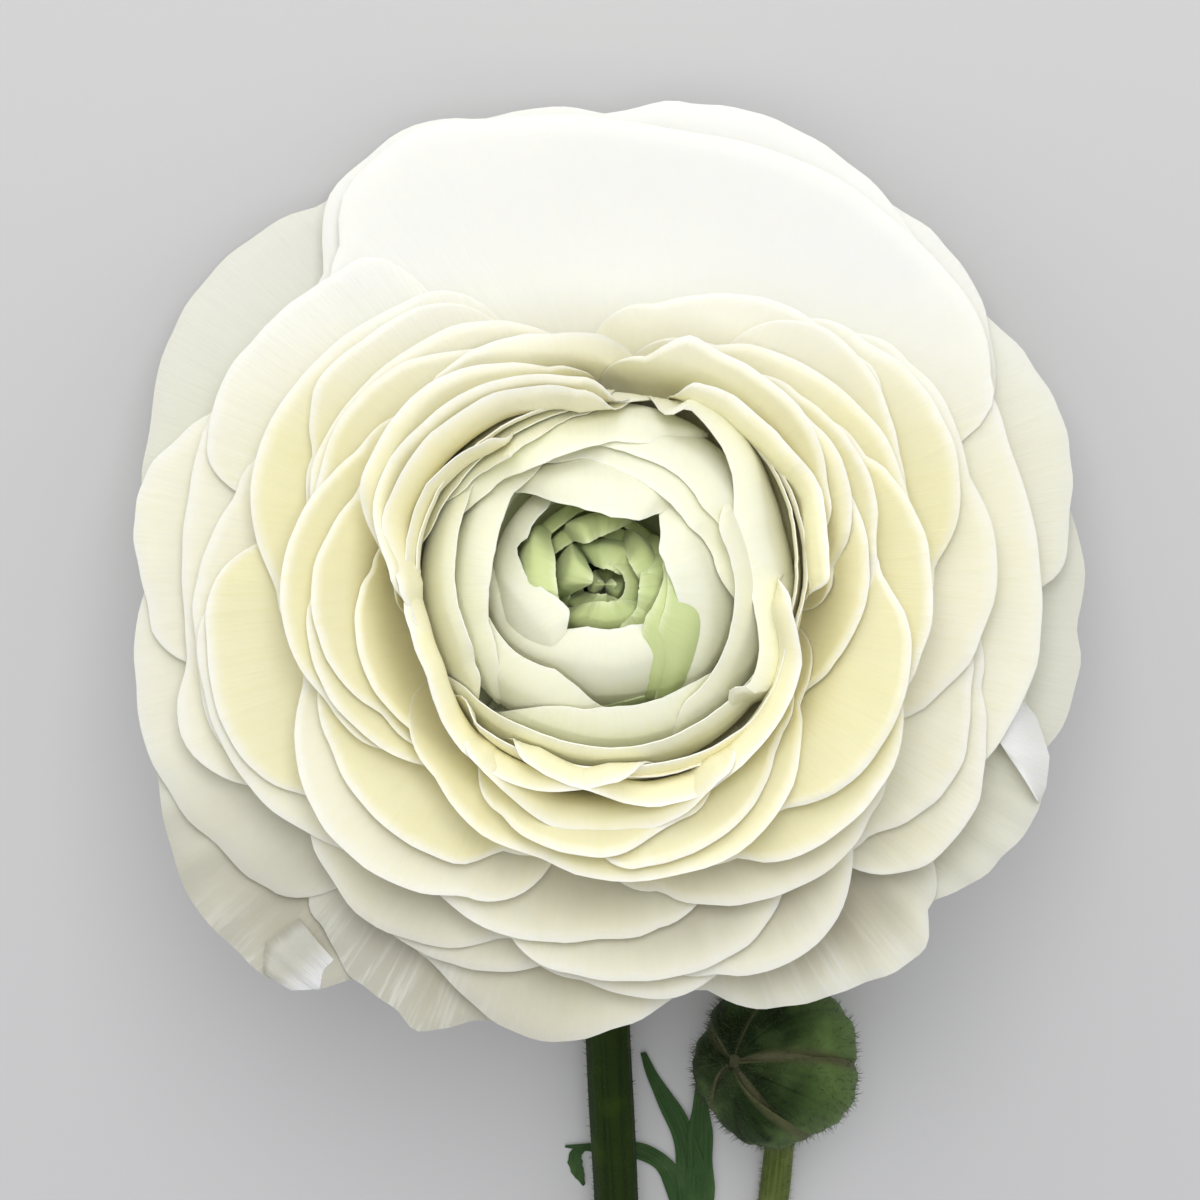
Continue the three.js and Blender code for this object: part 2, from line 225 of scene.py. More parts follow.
class Finish:
    """A material under construction."""

    def __init__(self, name, roughness, **constants):
        self.material = bpy.data.materials.new(name)
        self.material.use_nodes = True
        self.tree = self.material.node_tree
        self.shader = self.tree.nodes["Principled BSDF"]
        self.shader.inputs["Roughness"].default_value = roughness
        for socket, value in constants.items():
            self.shader.inputs[socket.replace("_", " ")].default_value = value

    def node(self, kind, settings, sockets, output=0):
        made = self.tree.nodes.new(kind)
        for key, value in settings.items():
            setattr(made, key, value)
        for key, value in sockets.items():
            self.feed(made.inputs[key], value)
        return Value(self, made.outputs[output])

    def feed(self, socket, value):
        if isinstance(value, Value):
            self.tree.links.new(value.socket, socket)
        else:
            socket.default_value = value

    def along(self):
        """(across, up) on a piece: across runs from 0 to 1 side to side, and up from its foot to its tip."""
        uv = self.node("ShaderNodeUVMap", {"uv_map": "UVMap"}, {})
        across = self.node("ShaderNodeSeparateXYZ", {}, {"Vector": uv})
        return across, Value(self, across.socket.node.outputs[1])

    def place(self):
        return self.node("ShaderNodeTexCoord", {}, {}, "Object")

    def measure(self, direction):
        """How far a point lies along a direction, in metres from the middle of the receptacle."""
        sockets = {0: self.place(), 1: tuple(direction)}
        along = self.node("ShaderNodeVectorMath", {"operation": "DOT_PRODUCT"}, sockets, "Value")
        return along - BLOOM_CENTRE.dot(direction)

    def vector(self, x, y, z):
        return self.node("ShaderNodeCombineXYZ", {}, {0: x, 1: y, 2: z})

    def noise(self, where, scale, detail, roughness=0.5):
        sockets = {"Vector": where, "Scale": scale, "Detail": detail, "Roughness": roughness}
        return self.node("ShaderNodeTexNoise", {}, sockets)

    def blend(self, share, first, second):
        """Two colours mixed by a share of the second."""
        made = self.tree.nodes.new("ShaderNodeMix")
        made.data_type = "RGBA"
        self.feed(made.inputs["Factor"], share)
        for name, colour in (("A", first), ("B", second)):
            socket = next(s for s in made.inputs if s.name == name and s.type == "RGBA")
            self.feed(socket, colour if isinstance(colour, Value) else (*colour, 1.0))
        return Value(self, next(s for s in made.outputs if s.type == "RGBA"))

    def colour(self, value):
        self.feed(self.shader.inputs["Base Color"], value)

    def roughness(self, value):
        self.feed(self.shader.inputs["Roughness"], value)

    def relief(self, height, depth, strength):
        """Bump from a height between 0 and 1, depth metres deep."""
        sockets = {"Height": height, "Distance": depth, "Strength": strength}
        bump = self.node("ShaderNodeBump", {}, sockets)
        self.feed(self.shader.inputs["Normal"], bump)


FLOOR_DARK, FLOOR_PALE = (0.69, 0.69, 0.698), (0.722, 0.722, 0.729)


def pale_floor():
    finish = Finish("pale_floor", 0.85)
    clouds = finish.noise(finish.place(), 3.0, 2.0)
    finish.colour(finish.blend(clouds, FLOOR_DARK, FLOOR_PALE))
    return finish.material


floor.data.materials.append(pale_floor())
print("floor finish:", len(floor.data.materials[0].node_tree.nodes), "nodes")

# %% [markdown]
# ## Light and shade painted on the outer petals
#
# One white doesn't do for all the outer petals. In the real bloom, light goes through a petal and comes
# out greyer and browner on the next one, and these petals let none through. So light and shade are painted
# into their tone, worked out from where a point lies. At the top of the picture painted light makes them
# whiter. Where they bend back past the receptacle painted shade makes them a dull grey-white, and past
# 36 mm towards the lower left greyer still. Low down, a brown-grey painted shadow lies on the part near a
# petal's foot, which the next petal covers, most of all on the right. Painted highlights run up the pleats
# of the lowest ones.
#
# It could be done with a colour painted for each petal, but distances measured in the bloom's frame give
# soft changes that run on from petal to petal, as light does.

# %% Light and shade painted on the outer petals
TOP_PAINTED_LIGHT = (0.93, 0.93, 0.855)
FAR_BACK_PAINTED_SHADE = (0.72, 0.722, 0.625)
SHADED = (0.46, 0.45, 0.38)
COVERED_PAINTED_SHADOW = (0.42, 0.39, 0.3)
PLEAT_PAINTED_HIGHLIGHT = (0.88, 0.875, 0.82)
LOWER_LEFT = UP * -0.88 - RIGHT * 0.47


def paint_light_and_shade(finish, tone, strand, height, painted_shade_strength):
    """A petal's tone, with light and shade painted on by where each point of it lies in the bloom."""
    forward = finish.measure(AXIS)
    down = finish.measure(-UP)
    right = finish.measure(RIGHT)
    # Painted light: whiter towards the top of the picture.
    painted_top_light = down.ramp(-0.012, -0.034)
    # Painted shade: a dull grey-white far back along the axis, and greyer towards the lower left.
    far_back_painted_shade = forward.ramp(0.003, -0.004) * 0.95
    shaded = finish.measure(LOWER_LEFT).ramp(0.0355, 0.046) * 0.75
    # A brown-grey painted shadow near a petal's foot, where the next petal covers it, stronger on the right.
    right_share = right.ramp(-0.004, 0.018) * 0.4 + 0.72
    covered_painted_shadow = down.ramp(0.015, 0.036) * (1.0 - height.ramp(0.5, 0.9)) * right_share * painted_shade_strength
    off_middle = right.size().ramp(0.004, 0.024)
    # Painted highlights along the pleats of the lowest petals.
    pleats = strand.ramp(0.47, 0.68) * down.ramp(0.028, 0.041)
    pleat_painted_highlights = pleats * height.ramp(0.45, 0.8) * off_middle * 0.5
    tone = finish.blend(painted_top_light, tone, TOP_PAINTED_LIGHT)
    tone = finish.blend(far_back_painted_shade, tone, FAR_BACK_PAINTED_SHADE)
    tone = finish.blend(shaded, tone, SHADED)
    tone = finish.blend(covered_painted_shadow, tone, COVERED_PAINTED_SHADOW)
    return finish.blend(pleat_painted_highlights, tone, PLEAT_PAINTED_HIGHLIGHT)


print("the lower left lies along", tuple(round(value, 3) for value in LOWER_LEFT))

# %% [markdown]
# ## Petal skin
#
# A ranunculus petal is thin, and light soaks through it. Its rim is nearly white, and towards its foot it
# turns cream, or green in the eye. That cream is partly the petal's own colour and partly painted light: it
# stands in for the yellow that light takes on as it passes through and between petals in the deep folds.
# Fine veins run from foot to rim and fan out with the petal, so they follow the piece's own UV map: the
# first coordinate runs across the petal and the second up it. Noise that is squeezed across and stretched
# along gives veins that stay fine at any size, which a picture of a petal would not. The same veins give the
# relief, and make the skin a little rougher where they stand out.

# %% Petal skin
VEIN_TINT = (0.965, 0.955, 0.86)
STRANDS, BANDS, CLOUD_SCALE = 46.0, 9.0, 90.0


def petal_skin(name, rim, body, foot, painted_shade_strength=0.0):
    """A petal's finish, from the tones of its rim, its body and its foot."""
    finish = Finish(
        name,
        0.5,
        Subsurface_Weight=0.3,
        Subsurface_Radius=(1.0, 0.92, 0.6),
        Subsurface_Scale=0.0005,
        Sheen_Weight=0.12,
        Sheen_Roughness=0.5,
        Specular_IOR_Level=0.3,
    )
    across, up = finish.along()
    strand = finish.noise(finish.vector(across * STRANDS, up * 1.7, 0.0), 1.0, 4.0, 0.6)
    broad = finish.noise(finish.vector(across * BANDS, up * 1.2, 3.0), 1.0, 3.0)
    cloud = finish.noise(finish.place(), CLOUD_SCALE, 2.0)
    height = up + (broad - 0.5) * 0.16
    # Foot to rim. The cream of the foot is partly the petal's own colour and partly painted light from
    # between the folds.
    tone = finish.blend(height.ramp(0.1, 0.6), foot, body)
    tone = finish.blend(height.ramp(0.8, 0.985), tone, rim)
    veins = strand.ramp(0.47, 0.7) * 0.5 * (1.0 - up.ramp(0.55, 1.0) * 0.6)
    shade = tuple(channel * factor for channel, factor in zip(body, VEIN_TINT))
    tone = finish.blend(veins, tone, shade)
    tone = finish.blend(cloud.ramp(0.45, 0.75) * 0.25, tone, shade)
    # The white and cream petals get light and shade painted on by their place.
    if painted_shade_strength:
        tone = paint_light_and_shade(finish, tone, strand, height, painted_shade_strength)
    finish.colour(tone)
    finish.roughness(0.46 + strand * 0.16)
    finish.relief(strand * 0.7 + broad * 0.6, 0.00022, 0.55)
    return finish.material


# A skin's last number turns on the painted light and shade, and scales the painted shadow where petals cover
# each other.
SKINS = {
    "white": petal_skin("petal_white", (0.90, 0.893, 0.80), (0.89, 0.868, 0.68), (0.87, 0.82, 0.48), 1.0),
    "cream": petal_skin("petal_cream", (0.94, 0.93, 0.83), (0.885, 0.838, 0.54), (0.86, 0.78, 0.38), 0.55),
    "ball": petal_skin("petal_ball", (0.91, 0.91, 0.77), (0.89, 0.89, 0.68), (0.76, 0.82, 0.46)),
    "green": petal_skin("petal_green", (0.72, 0.79, 0.47), (0.58, 0.67, 0.31), (0.33, 0.42, 0.08)),
}
SLOTS = {"ball": "petal_cream", "white": "petal_white", "cream": "petal_cream", "green": "petal_green"}
print("petal skins:", list(SKINS))

# %% [markdown]
# ## The family of bowls
#
# All petals grow from one small knob, yet none cuts through another. The plain model gets that from a
# family of nested bowls about the bloom's axis, named by layer: 0 is shut round the axis and 1 is nearly
# flat. The same formulas are repeated here with arrays, so that the fine petals land on the plain ones.

# %% The family of bowls
INNER_ANGLE, ANGLE_RANGE = 2, 98
BOWL_FOOT, BOWL_RIM = 13, 30
CLOSED_LAYER = 0.48
BULGE, BULGE_LAYER, BULGE_SPAN = 0.13, 0.56, 0.14


def tip_spread(layer):
    """How far the tip of a bowl leans out: hardly, up to the closed layer, and then more and more."""
    gap = layer - CLOSED_LAYER
    return 0.15 * layer + 0.8 * (np.hypot(gap, 0.1) + gap)


def bowl_angle(layer, distance, tip):
    """Angle between the axis and a bowl's wall, at a distance from the middle of the receptacle."""
    share = np.clip((distance - BOWL_FOOT) / (BOWL_RIM - BOWL_FOOT), 0, 1)
    closing = share * share * (3 - 2 * share)
    bulge = BULGE * math.exp(-(((layer - BULGE_LAYER) / BULGE_SPAN) ** 2)) * np.sin(np.pi * share) ** 2
    spread = layer + (tip - layer) * closing + bulge
    return np.radians(INNER_ANGLE + ANGLE_RANGE * spread)


def around(radius, turn, height):
    """Points round an axis, from radii, angles in radians and heights."""
    return np.stack([radius * np.cos(turn), radius * np.sin(turn), height], axis=-1)


def bowl_point(layer, distance, turn, tip):
    lean = bowl_angle(layer, distance, tip)
    return around(distance * np.sin(lean), turn, distance * np.cos(lean))


print("tips lean by", [round(float(tip_spread(layer)), 2) for layer in (0, 0.5, 1)], "at layers 0, 0.5 and 1")

# %% [markdown]
# ## Smooth curves and waves
#
# Nothing on a petal is straight or sharp, yet it is described by a few numbers. `smooth_through` turns a
# few points into a soft curve. A spline could do that, but it overshoots between points, so the points are
# joined by straight lines and then averaged over a short reach. `wobble` adds up a few sine waves that
# don't fit each other, so that the wave hardly repeats. Its seed makes it the same every run.

# %% Smooth curves and waves


def smooth_through(points, where, softness):
    """A smooth curve near a few (place, value) points, held level beyond its ends."""
    places, values = zip(*sorted(points))
    fine = np.linspace(min(places[0], where.min()) - 1, max(places[-1], where.max()) + 1, 400)
    level = np.interp(fine, places, values)
    reach = max(1, int(softness / (fine[1] - fine[0])))
    window = np.hanning(2 * reach + 3)
    padded = np.pad(level, reach + 1, mode="edge")
    return np.interp(where, fine, np.convolve(padded, window / window.sum(), mode="valid"))


def wobble(across, up, seed, waves):
    """A smooth wave over the petal, between about -1 and 1, the same every run."""
    random = np.random.default_rng(seed)
    total = np.zeros_like(across)
    for wave in waves:
        phase, slant = random.uniform(0, 2 * np.pi), random.uniform(-1.5, 1.5)
        total += np.sin(wave * across + slant * up * 2 + phase) * random.uniform(0.6, 1.0)
    return total / len(waves)


def unit(vectors):
    """The same directions, all of length 1."""
    return vectors / np.linalg.norm(vectors, axis=-1, keepdims=True)


print("a wave:", wobble(np.linspace(-1, 1, 5), np.zeros(5), 1, (3, 5, 8)).round(2))

# %% [markdown]
# ## A petal's wall and its lip
#
# The wall of a petal lies on its bowl. The last few millimetres before the rim curl away from it: outwards
# on an open petal, and inwards, with a bend below 0, on one that shuts over the heart. A curl of one
# radius looks like a pipe. A real lip bends most where it starts and then runs nearly straight, so it is
# summed up from short steps whose angle grows quickly at first: how far they advance, and how far they fall.

# %% A petal's wall and its lip
ALONG_STEP = 0.01


def lip_curve(past, width, bend):
    """Advance and fall of a lip that bends early and then runs nearly straight."""
    steps = np.linspace(0, 1, 40)
    angle = math.radians(bend) * (1 - (1 - steps) ** 2.2)
    advance = np.concatenate([[0], np.cumsum(np.cos(angle[:-1]) * np.diff(steps))])
    fall = np.concatenate([[0], np.cumsum(np.sin(angle[:-1]) * np.diff(steps))])
    share = past / width
    return np.interp(share, steps, advance) * width, np.interp(share, steps, fall) * width


def on_bowl(petal, distance, rim, turn, lip):
    """Points on a petal's bowl, with the last part of each column bent away from it as a lip."""
    tip = petal.get("tip", tip_spread(petal["layer"]))
    if not np.isscalar(tip):
        tip = np.interp(turn, petal["tip_turns"], tip)
    held = np.minimum(distance, rim - lip)
    middle, after, before = (
        bowl_point(petal["layer"], held + step, turn, tip) for step in (0, ALONG_STEP, -ALONG_STEP)
    )
    along = unit(after - before)
    round_axis = np.stack([-np.sin(turn), np.cos(turn), 0 * turn], axis=-1)
    inward = np.cross(along, round_axis)
    advance, fall = lip_curve((distance - held).clip(0), lip, petal["bend"])
    return middle + along * advance[..., None] - inward * fall[..., None], inward


print("a 3 mm lip bent by 40 degrees:", [round(float(part), 2) for part in lip_curve(3, 3, 40)])

# %% [markdown]
# ## How long a petal is
#
# The photograph shows where a rim is seen, not how long its petal is: the same spot can be the rim of a
# long petal that stands up or of a short one that lies flat. A petal's layer says how steeply it stands.
# Its length is then found by trying: the rim is placed, and the length is corrected by what it misses.
#
# That fails where a petal stands nearly upright, because more length hardly moves its rim in the picture.
# A petal with a `swing` keeps that length and leans each part of itself in or out instead. A petal with a
# `length` closes over the middle: its whole tip is turned in until its innermost point fits, and the
# drawn rim says how far up each part of it ends.

# %% How long a petal is
VIEW_HEIGHT = CAMERA_DISTANCE / MM
VIEW_PLANE = (CAMERA_DISTANCE - PETAL_PLANE) / MM
SHORTEST, LONGEST = 14, 75
CLOSED_TRIES, SWUNG_TRIES, OPEN_TRIES = 12, 30, 25


def seen_radius(points):
    """Radius at which the camera sees a point, scaled to the plane of the petals."""
    flat = np.hypot(points[..., 0], points[..., 1])
    return flat * VIEW_PLANE / (VIEW_HEIGHT - points[..., 2])


def closed_lengths(petal, seen):
    """For a petal that closes over the middle: how far up it each part of its rim lies."""
    top = petal["length"]
    distances = np.linspace(SHORTEST, top, 300)
    level = np.zeros_like(distances)
    target = seen.min()
    for _ in range(CLOSED_TRIES):
        lean = math.degrees(math.asin(target * (VIEW_HEIGHT - top) / VIEW_PLANE / top))
        petal["tip"] = (lean - INNER_ANGLE) / ANGLE_RANGE
        points, _ = on_bowl(petal, distances, distances, level, level + petal["lip"])
        radii = points[:, 0] * VIEW_PLANE / (VIEW_HEIGHT - points[:, 2])
        target += seen.min() - radii[-1]
    widest = radii.argmax()
    return np.interp(seen, radii[widest:][::-1], distances[widest:][::-1])


def swung_lengths(petal, seen, turn):
    """For an upright petal of one length: lean each part of it until its rim is where it is seen."""
    length = np.full_like(turn, petal["swing"])
    petal["tip_turns"] = turn
    petal["tip"] = np.full_like(turn, tip_spread(petal["layer"]))
    for _ in range(SWUNG_TRIES):
        points, _ = on_bowl(petal, length, length, turn, petal["lips"])
        miss = np.degrees((seen - seen_radius(points)) / length)
        petal["tip"] = petal["tip"] + miss / ANGLE_RANGE
    return length


def open_lengths(petal, seen, turn):
    """For a petal that opens: the length that puts each part of its rim where it is seen."""
    length = seen * 1.15 + 6
    for _ in range(OPEN_TRIES):
        points, _ = on_bowl(petal, length, length, turn, petal["lips"])
        length = (length + (seen - seen_radius(points)) * 0.9).clip(SHORTEST, LONGEST)
    return length


print("20 mm out and 30 mm up is seen at", round(float(seen_radius(np.array([20, 0, 30]))), 2), "mm")

# %% [markdown]
# ## A petal's own numbers
#
# Each petal is given by its drawn rim and a few numbers, and most petals share most of those:
#
# - `lip` is the width of the rim that curls, in mm, and `bend` the angle it curls through;
# - `margin` is how many degrees each side takes to run down from the drawn rim to the shoulder, and
#   `taper` says how roundly: below 1 it keeps its length and then drops, above 1 it falls off at once;
# - `softness` is over how many degrees the drawn rim is smoothed;
# - `dent`, `wave` and `crinkle` are mm of waviness in the outline, in the whole face and at the rim alone;
# - `pleat` is the depth of regular folds, in mm, and `pleats` how close they stand.

# %% A petal's own numbers
SHAPE_DEFAULTS = {
    "lip": 1.0, "bend": 38, "margin": 16, "taper": 0.5, "softness": 2.5,
    "dent": 0.12, "wave": 0.1, "crinkle": 0.06, "pleat": 0.0, "pleats": 30.0,
}
SAMPLES = np.linspace(-1, 1, 121)
LIP_SOFTNESS = 4
THINNEST_LIP = 0.02
CLAW_RADIUS = 7.5
SHOULDER = 0.6


def prepare(petal):
    """Work out a petal's middle, half width and rim distances from its drawn rim."""
    turns = [turn for turn, _ in petal["rim"]]
    petal = SHAPE_DEFAULTS | petal
    petal["angle"] = (turns[0] + turns[-1]) / 2
    petal["half"] = abs(turns[-1] - turns[0]) / 2 + petal["margin"]
    turn = petal["angle"] + SAMPLES * petal["half"]
    drawn = np.clip(turn, min(turns), max(turns))
    beyond = (np.abs(turn - drawn) / petal["margin"]).clip(0, 1)
    seen = smooth_through(petal["rim"], drawn, petal["softness"])
    lip = petal["lip"]
    lips = smooth_through(lip, turn, LIP_SOFTNESS) if isinstance(lip, list) else np.full_like(turn, lip)
    petal["lips"] = lips * (1 - np.abs(SAMPLES) ** 4) * (1 - beyond) ** 1.5 + THINNEST_LIP
    if "length" in petal:
        petal["lips"] = lips * (1 - beyond) ** 0.5 + THINNEST_LIP
        length = closed_lengths(petal, seen)
    elif "swing" in petal:
        length = swung_lengths(petal, seen, np.radians(turn))
    else:
        length = open_lengths(petal, seen, np.radians(turn))
    side = CLAW_RADIUS + (length - CLAW_RADIUS) * SHOULDER
    petal["lengths"] = side + (length - side) * (1 - beyond**2) ** petal["taper"]
    return petal


print("numbers that petals share:", len(SHAPE_DEFAULTS))

# %% [markdown]
# ## The points of a petal
#
# A petal is narrow at its claw and widens quickly, so its points are spread over a small angle at the foot
# and over the whole of it near the rim. On top come the things that make it look grown: small dents in
# the outline, a lazy wave, a crinkle that only the very rim has, and pleats on some of the outer ones. The
# last three move a point along the petal's own normal, and more so towards the rim, so that the feet stay
# seated.

# %% The points of a petal
DENT_WAVES, FACE_WAVES, RIM_WAVES, PLEAT_WAVES = (9, 17, 29), (3, 5, 8), (23, 37, 52), (2, 3)
CLAW_HALF_WIDTH = 13
FLARE = 2.5


def petal_points(petal, across, up):
    """Where a petal's grid points lie, in the bloom's frame, for across in -1..1 and up in 0..1."""
    seed = petal["seed"]
    rim = np.interp(across, SAMPLES, petal["lengths"])
    lip = np.interp(across, SAMPLES, petal["lips"])
    rim = rim + petal["dent"] * wobble(across, 0 * up, seed, DENT_WAVES)
    distance = CLAW_RADIUS + (rim - CLAW_RADIUS) * up
    width = CLAW_HALF_WIDTH + (petal["half"] - CLAW_HALF_WIDTH) * (1 - (1 - up) ** FLARE)
    turn = np.radians(petal["angle"] + across * width)
    points, inward = on_bowl(petal, distance, rim, turn, lip)
    rise = up**3
    bend = petal["wave"] * wobble(across, up, seed + 1, FACE_WAVES) * rise
    bend += petal["crinkle"] * wobble(across, up, seed + 3, RIM_WAVES) * up**8
    slant = 2 * wobble(across, up, seed + 2, PLEAT_WAVES)
    bend += petal["pleat"] * np.sin(across * petal["pleats"] + slant) * rise
    return points + inward * bend[..., None]


print("waves over a petal:", DENT_WAVES, FACE_WAVES, RIM_WAVES, PLEAT_WAVES)

# %% [markdown]
# ## Sheets with a thickness
#
# Every thin piece here starts as Blender's flat grid, which brings a clean UV map with it. A shape, a
# function of the way across and the way up, says where each of its points goes, and they are moved in one
# go, which is quick and exact. A Solidify modifier then gives it a thickness, and is applied, so the piece
# is a closed skin. Last, the piece is given its finish, rides on the plain model's body, and stands for the
# plain solids it replaces.

# %% Sheets with a thickness
SHARP_ANGLE = math.radians(50)


def sheet(name, columns, rows, shape):
    """A grid with its UV map, its points where shape puts them, from across in -1..1 and up in 0..1."""
    pick_nothing()
    bpy.ops.mesh.primitive_grid_add(x_subdivisions=columns, y_subdivisions=rows, size=2, calc_uvs=True)
    piece = bpy.context.object
    piece.name = name
    flat = np.empty(len(piece.data.vertices) * 3, dtype=np.float32)
    piece.data.vertices.foreach_get("co", flat)
    across, up, _ = flat.reshape(-1, 3).astype(float).T
    points = shape(across, (up + 1) / 2)
    piece.data.vertices.foreach_set("co", np.asarray(points, dtype=np.float32).ravel())
    piece.data.update()
    return piece


def thick_sheet(name, columns, rows, shape, thickness):
    """A sheet with a thickness, in mm, half of it to each side."""
    piece = sheet(name, columns, rows, shape)
    shell = piece.modifiers.new("skin", "SOLIDIFY")
    shell.thickness = thickness * MM
    shell.offset = 0.0
    bpy.context.view_layer.objects.active = piece
    bpy.ops.object.modifier_apply(modifier=shell.name)
    bpy.ops.object.shade_smooth_by_angle(angle=SHARP_ANGLE)
    return piece


def finish_piece(piece, skin, slot, *nodes):
    piece.data.materials.append(skin)
    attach(piece, "root")
    if nodes:
        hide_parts(*nodes)


print("sheets stay smooth up to", round(math.degrees(SHARP_ANGLE)), "degrees")

# %% [markdown]
# ## Make a petal
#
# The grid's rows crowd towards the rim, where the petal bends most, and its columns towards the sides,
# where the outline turns round to the foot. That puts the points where the shape needs them.

# %% Make a petal
PETAL_THICKNESS = 0.13
GRID_COLUMNS, GRID_ROWS = 48, 40
RIM_CROWDING = 1.8
SIDE_CROWDING = 0.4


def make_petal(petal):
    def shape(across, up):
        across = np.sin(across * np.pi / 2) * SIDE_CROWDING + across * (1 - SIDE_CROWDING)
        up = 1 - (1 - up) ** RIM_CROWDING
        return on_table(petal_points(prepare(petal), across, up))

    piece = thick_sheet(petal["name"] + "_skin", GRID_COLUMNS, GRID_ROWS, shape, PETAL_THICKNESS)
    finish_piece(piece, SKINS[petal["skin"]], SLOTS[petal["skin"]], *petal["nodes"])


print("a petal has", GRID_COLUMNS * GRID_ROWS, "faces on each side")

# %% [markdown]
# ## Petals as text
#
# From the eye outwards this bloom has six kinds of petal, and a kind holds what its petals have in common.
# The 45 petals of the plain model are replaced, so each has the name of its node. The real bloom has many
# more, and they give it its richness: slips of rim that show between two others. Those are made in the same
# way, on layers between those of the plain ones, and replace nothing.
#
# Petals are listed in a text, which is much shorter than a list of lists: name, layer, what differs from
# the kind, and the rim, up to a semicolon. The rim is angle:radius points, read as the bloom shows them from
# the front: degrees round the axis, and millimetres from it. On a petal that closes over the middle they
# say how far each part of it leans in. A lip may be given in the same way, as angle:width.

# %% Petals as text
PLAIN_PETALS = []
EXTRA_PETALS = []


def pairs(text):
    """Pairs of numbers from a text such as "20:3 35:1.75" or "20:3,35:1.75"."""
    return [tuple(float(number) for number in pair.split(":")) for pair in text.replace(",", " ").split()]


def rim_points(text):
    """(angle, value) points, with angles that run on past 360 instead of starting again at 0."""
    points = pairs(text)
    first = points[0][0]
    return [
        (first + (turn - first + 180) % 360 - 180 if abs(turn - first) > 180 else turn, value)
        for turn, value in points
    ]


def setting(text):
    """One of a petal's own numbers, a lip's points, or the name of a skin."""
    if ":" in text:
        return rim_points(text)
    return text if text.isalpha() else float(text)


def petals(kind, text):
    """The petals of one kind, read from their text."""
    rows = []
    for entry in text.split(";"):
        name, layer, *words = entry.split()
        own = {key: setting(value) for key, _, value in (word.partition("=") for word in words) if value}
        rim = rim_points(" ".join(word for word in words if "=" not in word))
        rows.append(kind | {"name": name, "layer": float(layer), "rim": rim} | own)
    return rows


def add_petals(kind, plain, extra):
    """List one kind's petals: those that stand for plain ones, and those that come between them."""
    PLAIN_PETALS.extend(petals(kind, plain))
    EXTRA_PETALS.extend(petals(kind, extra))
    print("petals so far:", len(PLAIN_PETALS), "for plain ones and", len(EXTRA_PETALS), "between them")


print("a rim that passes 0 degrees:", rim_points("350:3.3 5:3.9"))

# %% [markdown]
# ### Eye petals
#
# The youngest petals are short and still green. They shut over the heart like the scales of a bulb, and
# their lips curl inwards. Two of them, the folds, show as a green strip between the ball petals, at the
# lower right.

# %% Eye petals
add_petals(
    {"skin": "green", "lip": 3.2, "bend": -62, "dent": 0.08, "wave": 0.12, "margin": 30, "softness": 8},
    plain="""
eye_petal_low_left 0.14 length=23 190:3 200:2.1 234:1 270:0.9 300:1.4;
eye_petal_top 0.16 length=24 20:3 35:1.75 65:1.5 96:1.6 120:2.2 126:3.6;
eye_petal_left 0.19 length=25 122:4.6 127:3.2 138:1.5 158:1.3 177:1.4 190:2.4 197:4.2;
eye_petal_bottom 0.23 length=25.5 206:5.2 212:4.5 223:2.7 243:1.9 263:1.65 290:1.7 319:2.15 337:3.3;
eye_petal_right 0.26 length=26 -22:3.8 0:3.4 12:3.6 25:4 40:5 52:6;
eye_petal_low_right 0.3 length=26.5 298:4.2 320:3.9 335:3.6 350:3.3 5:3.9
""",
    extra="""
eye_heart_left 0.05 length=23.5 margin=50 100:0.3 140:-0.8 180:-1.2 220:-0.8 260:0.3;
eye_heart_right 0.09 length=23 margin=50 -70:2.3 0:2 70:2.2;
eye_heart_low 0.07 length=23.2 margin=40 -120:1 -70:-0.2 -30:-0.9 10:-0.4 60:0.8;
eye_crest 0.25 length=25 96:4.8 112:4.4 120:4.8 130:6;
eye_shoulder 0.21 length=25 5:3.6 13:3.3 30:3.2 45:3.3 68:4.2 76:5.4;
eye_side 0.33 length=27 122:8.6 138:7.4 150:5.7 168:5 186:4.8 197:4.9;
eye_fold_inner 0.461 length=30 lip=4.5 bend=-34 softness=3 292:13 297:11.4 302:9.7 308:8.3 314:7.4 322:6.7
    335:6.3 350:6.3 5:6.3;
eye_fold_outer 0.449 length=29.8 lip=4.5 bend=-34 softness=3 290:12.2 293:9.6 298:7.9 303:6.9 308:6.1
    314:5.5 320:5.2 330:5.2 345:5.2 360:5.6 12:6
""",
)

# %% [markdown]
# ### Ball petals
#
# The ball petals are greenish white. They shut over the eye so far that their outer faces show, and their
# rims lie round it one over the other, like tiles. The brows, cheeks, side and chin are the slips between
# them.

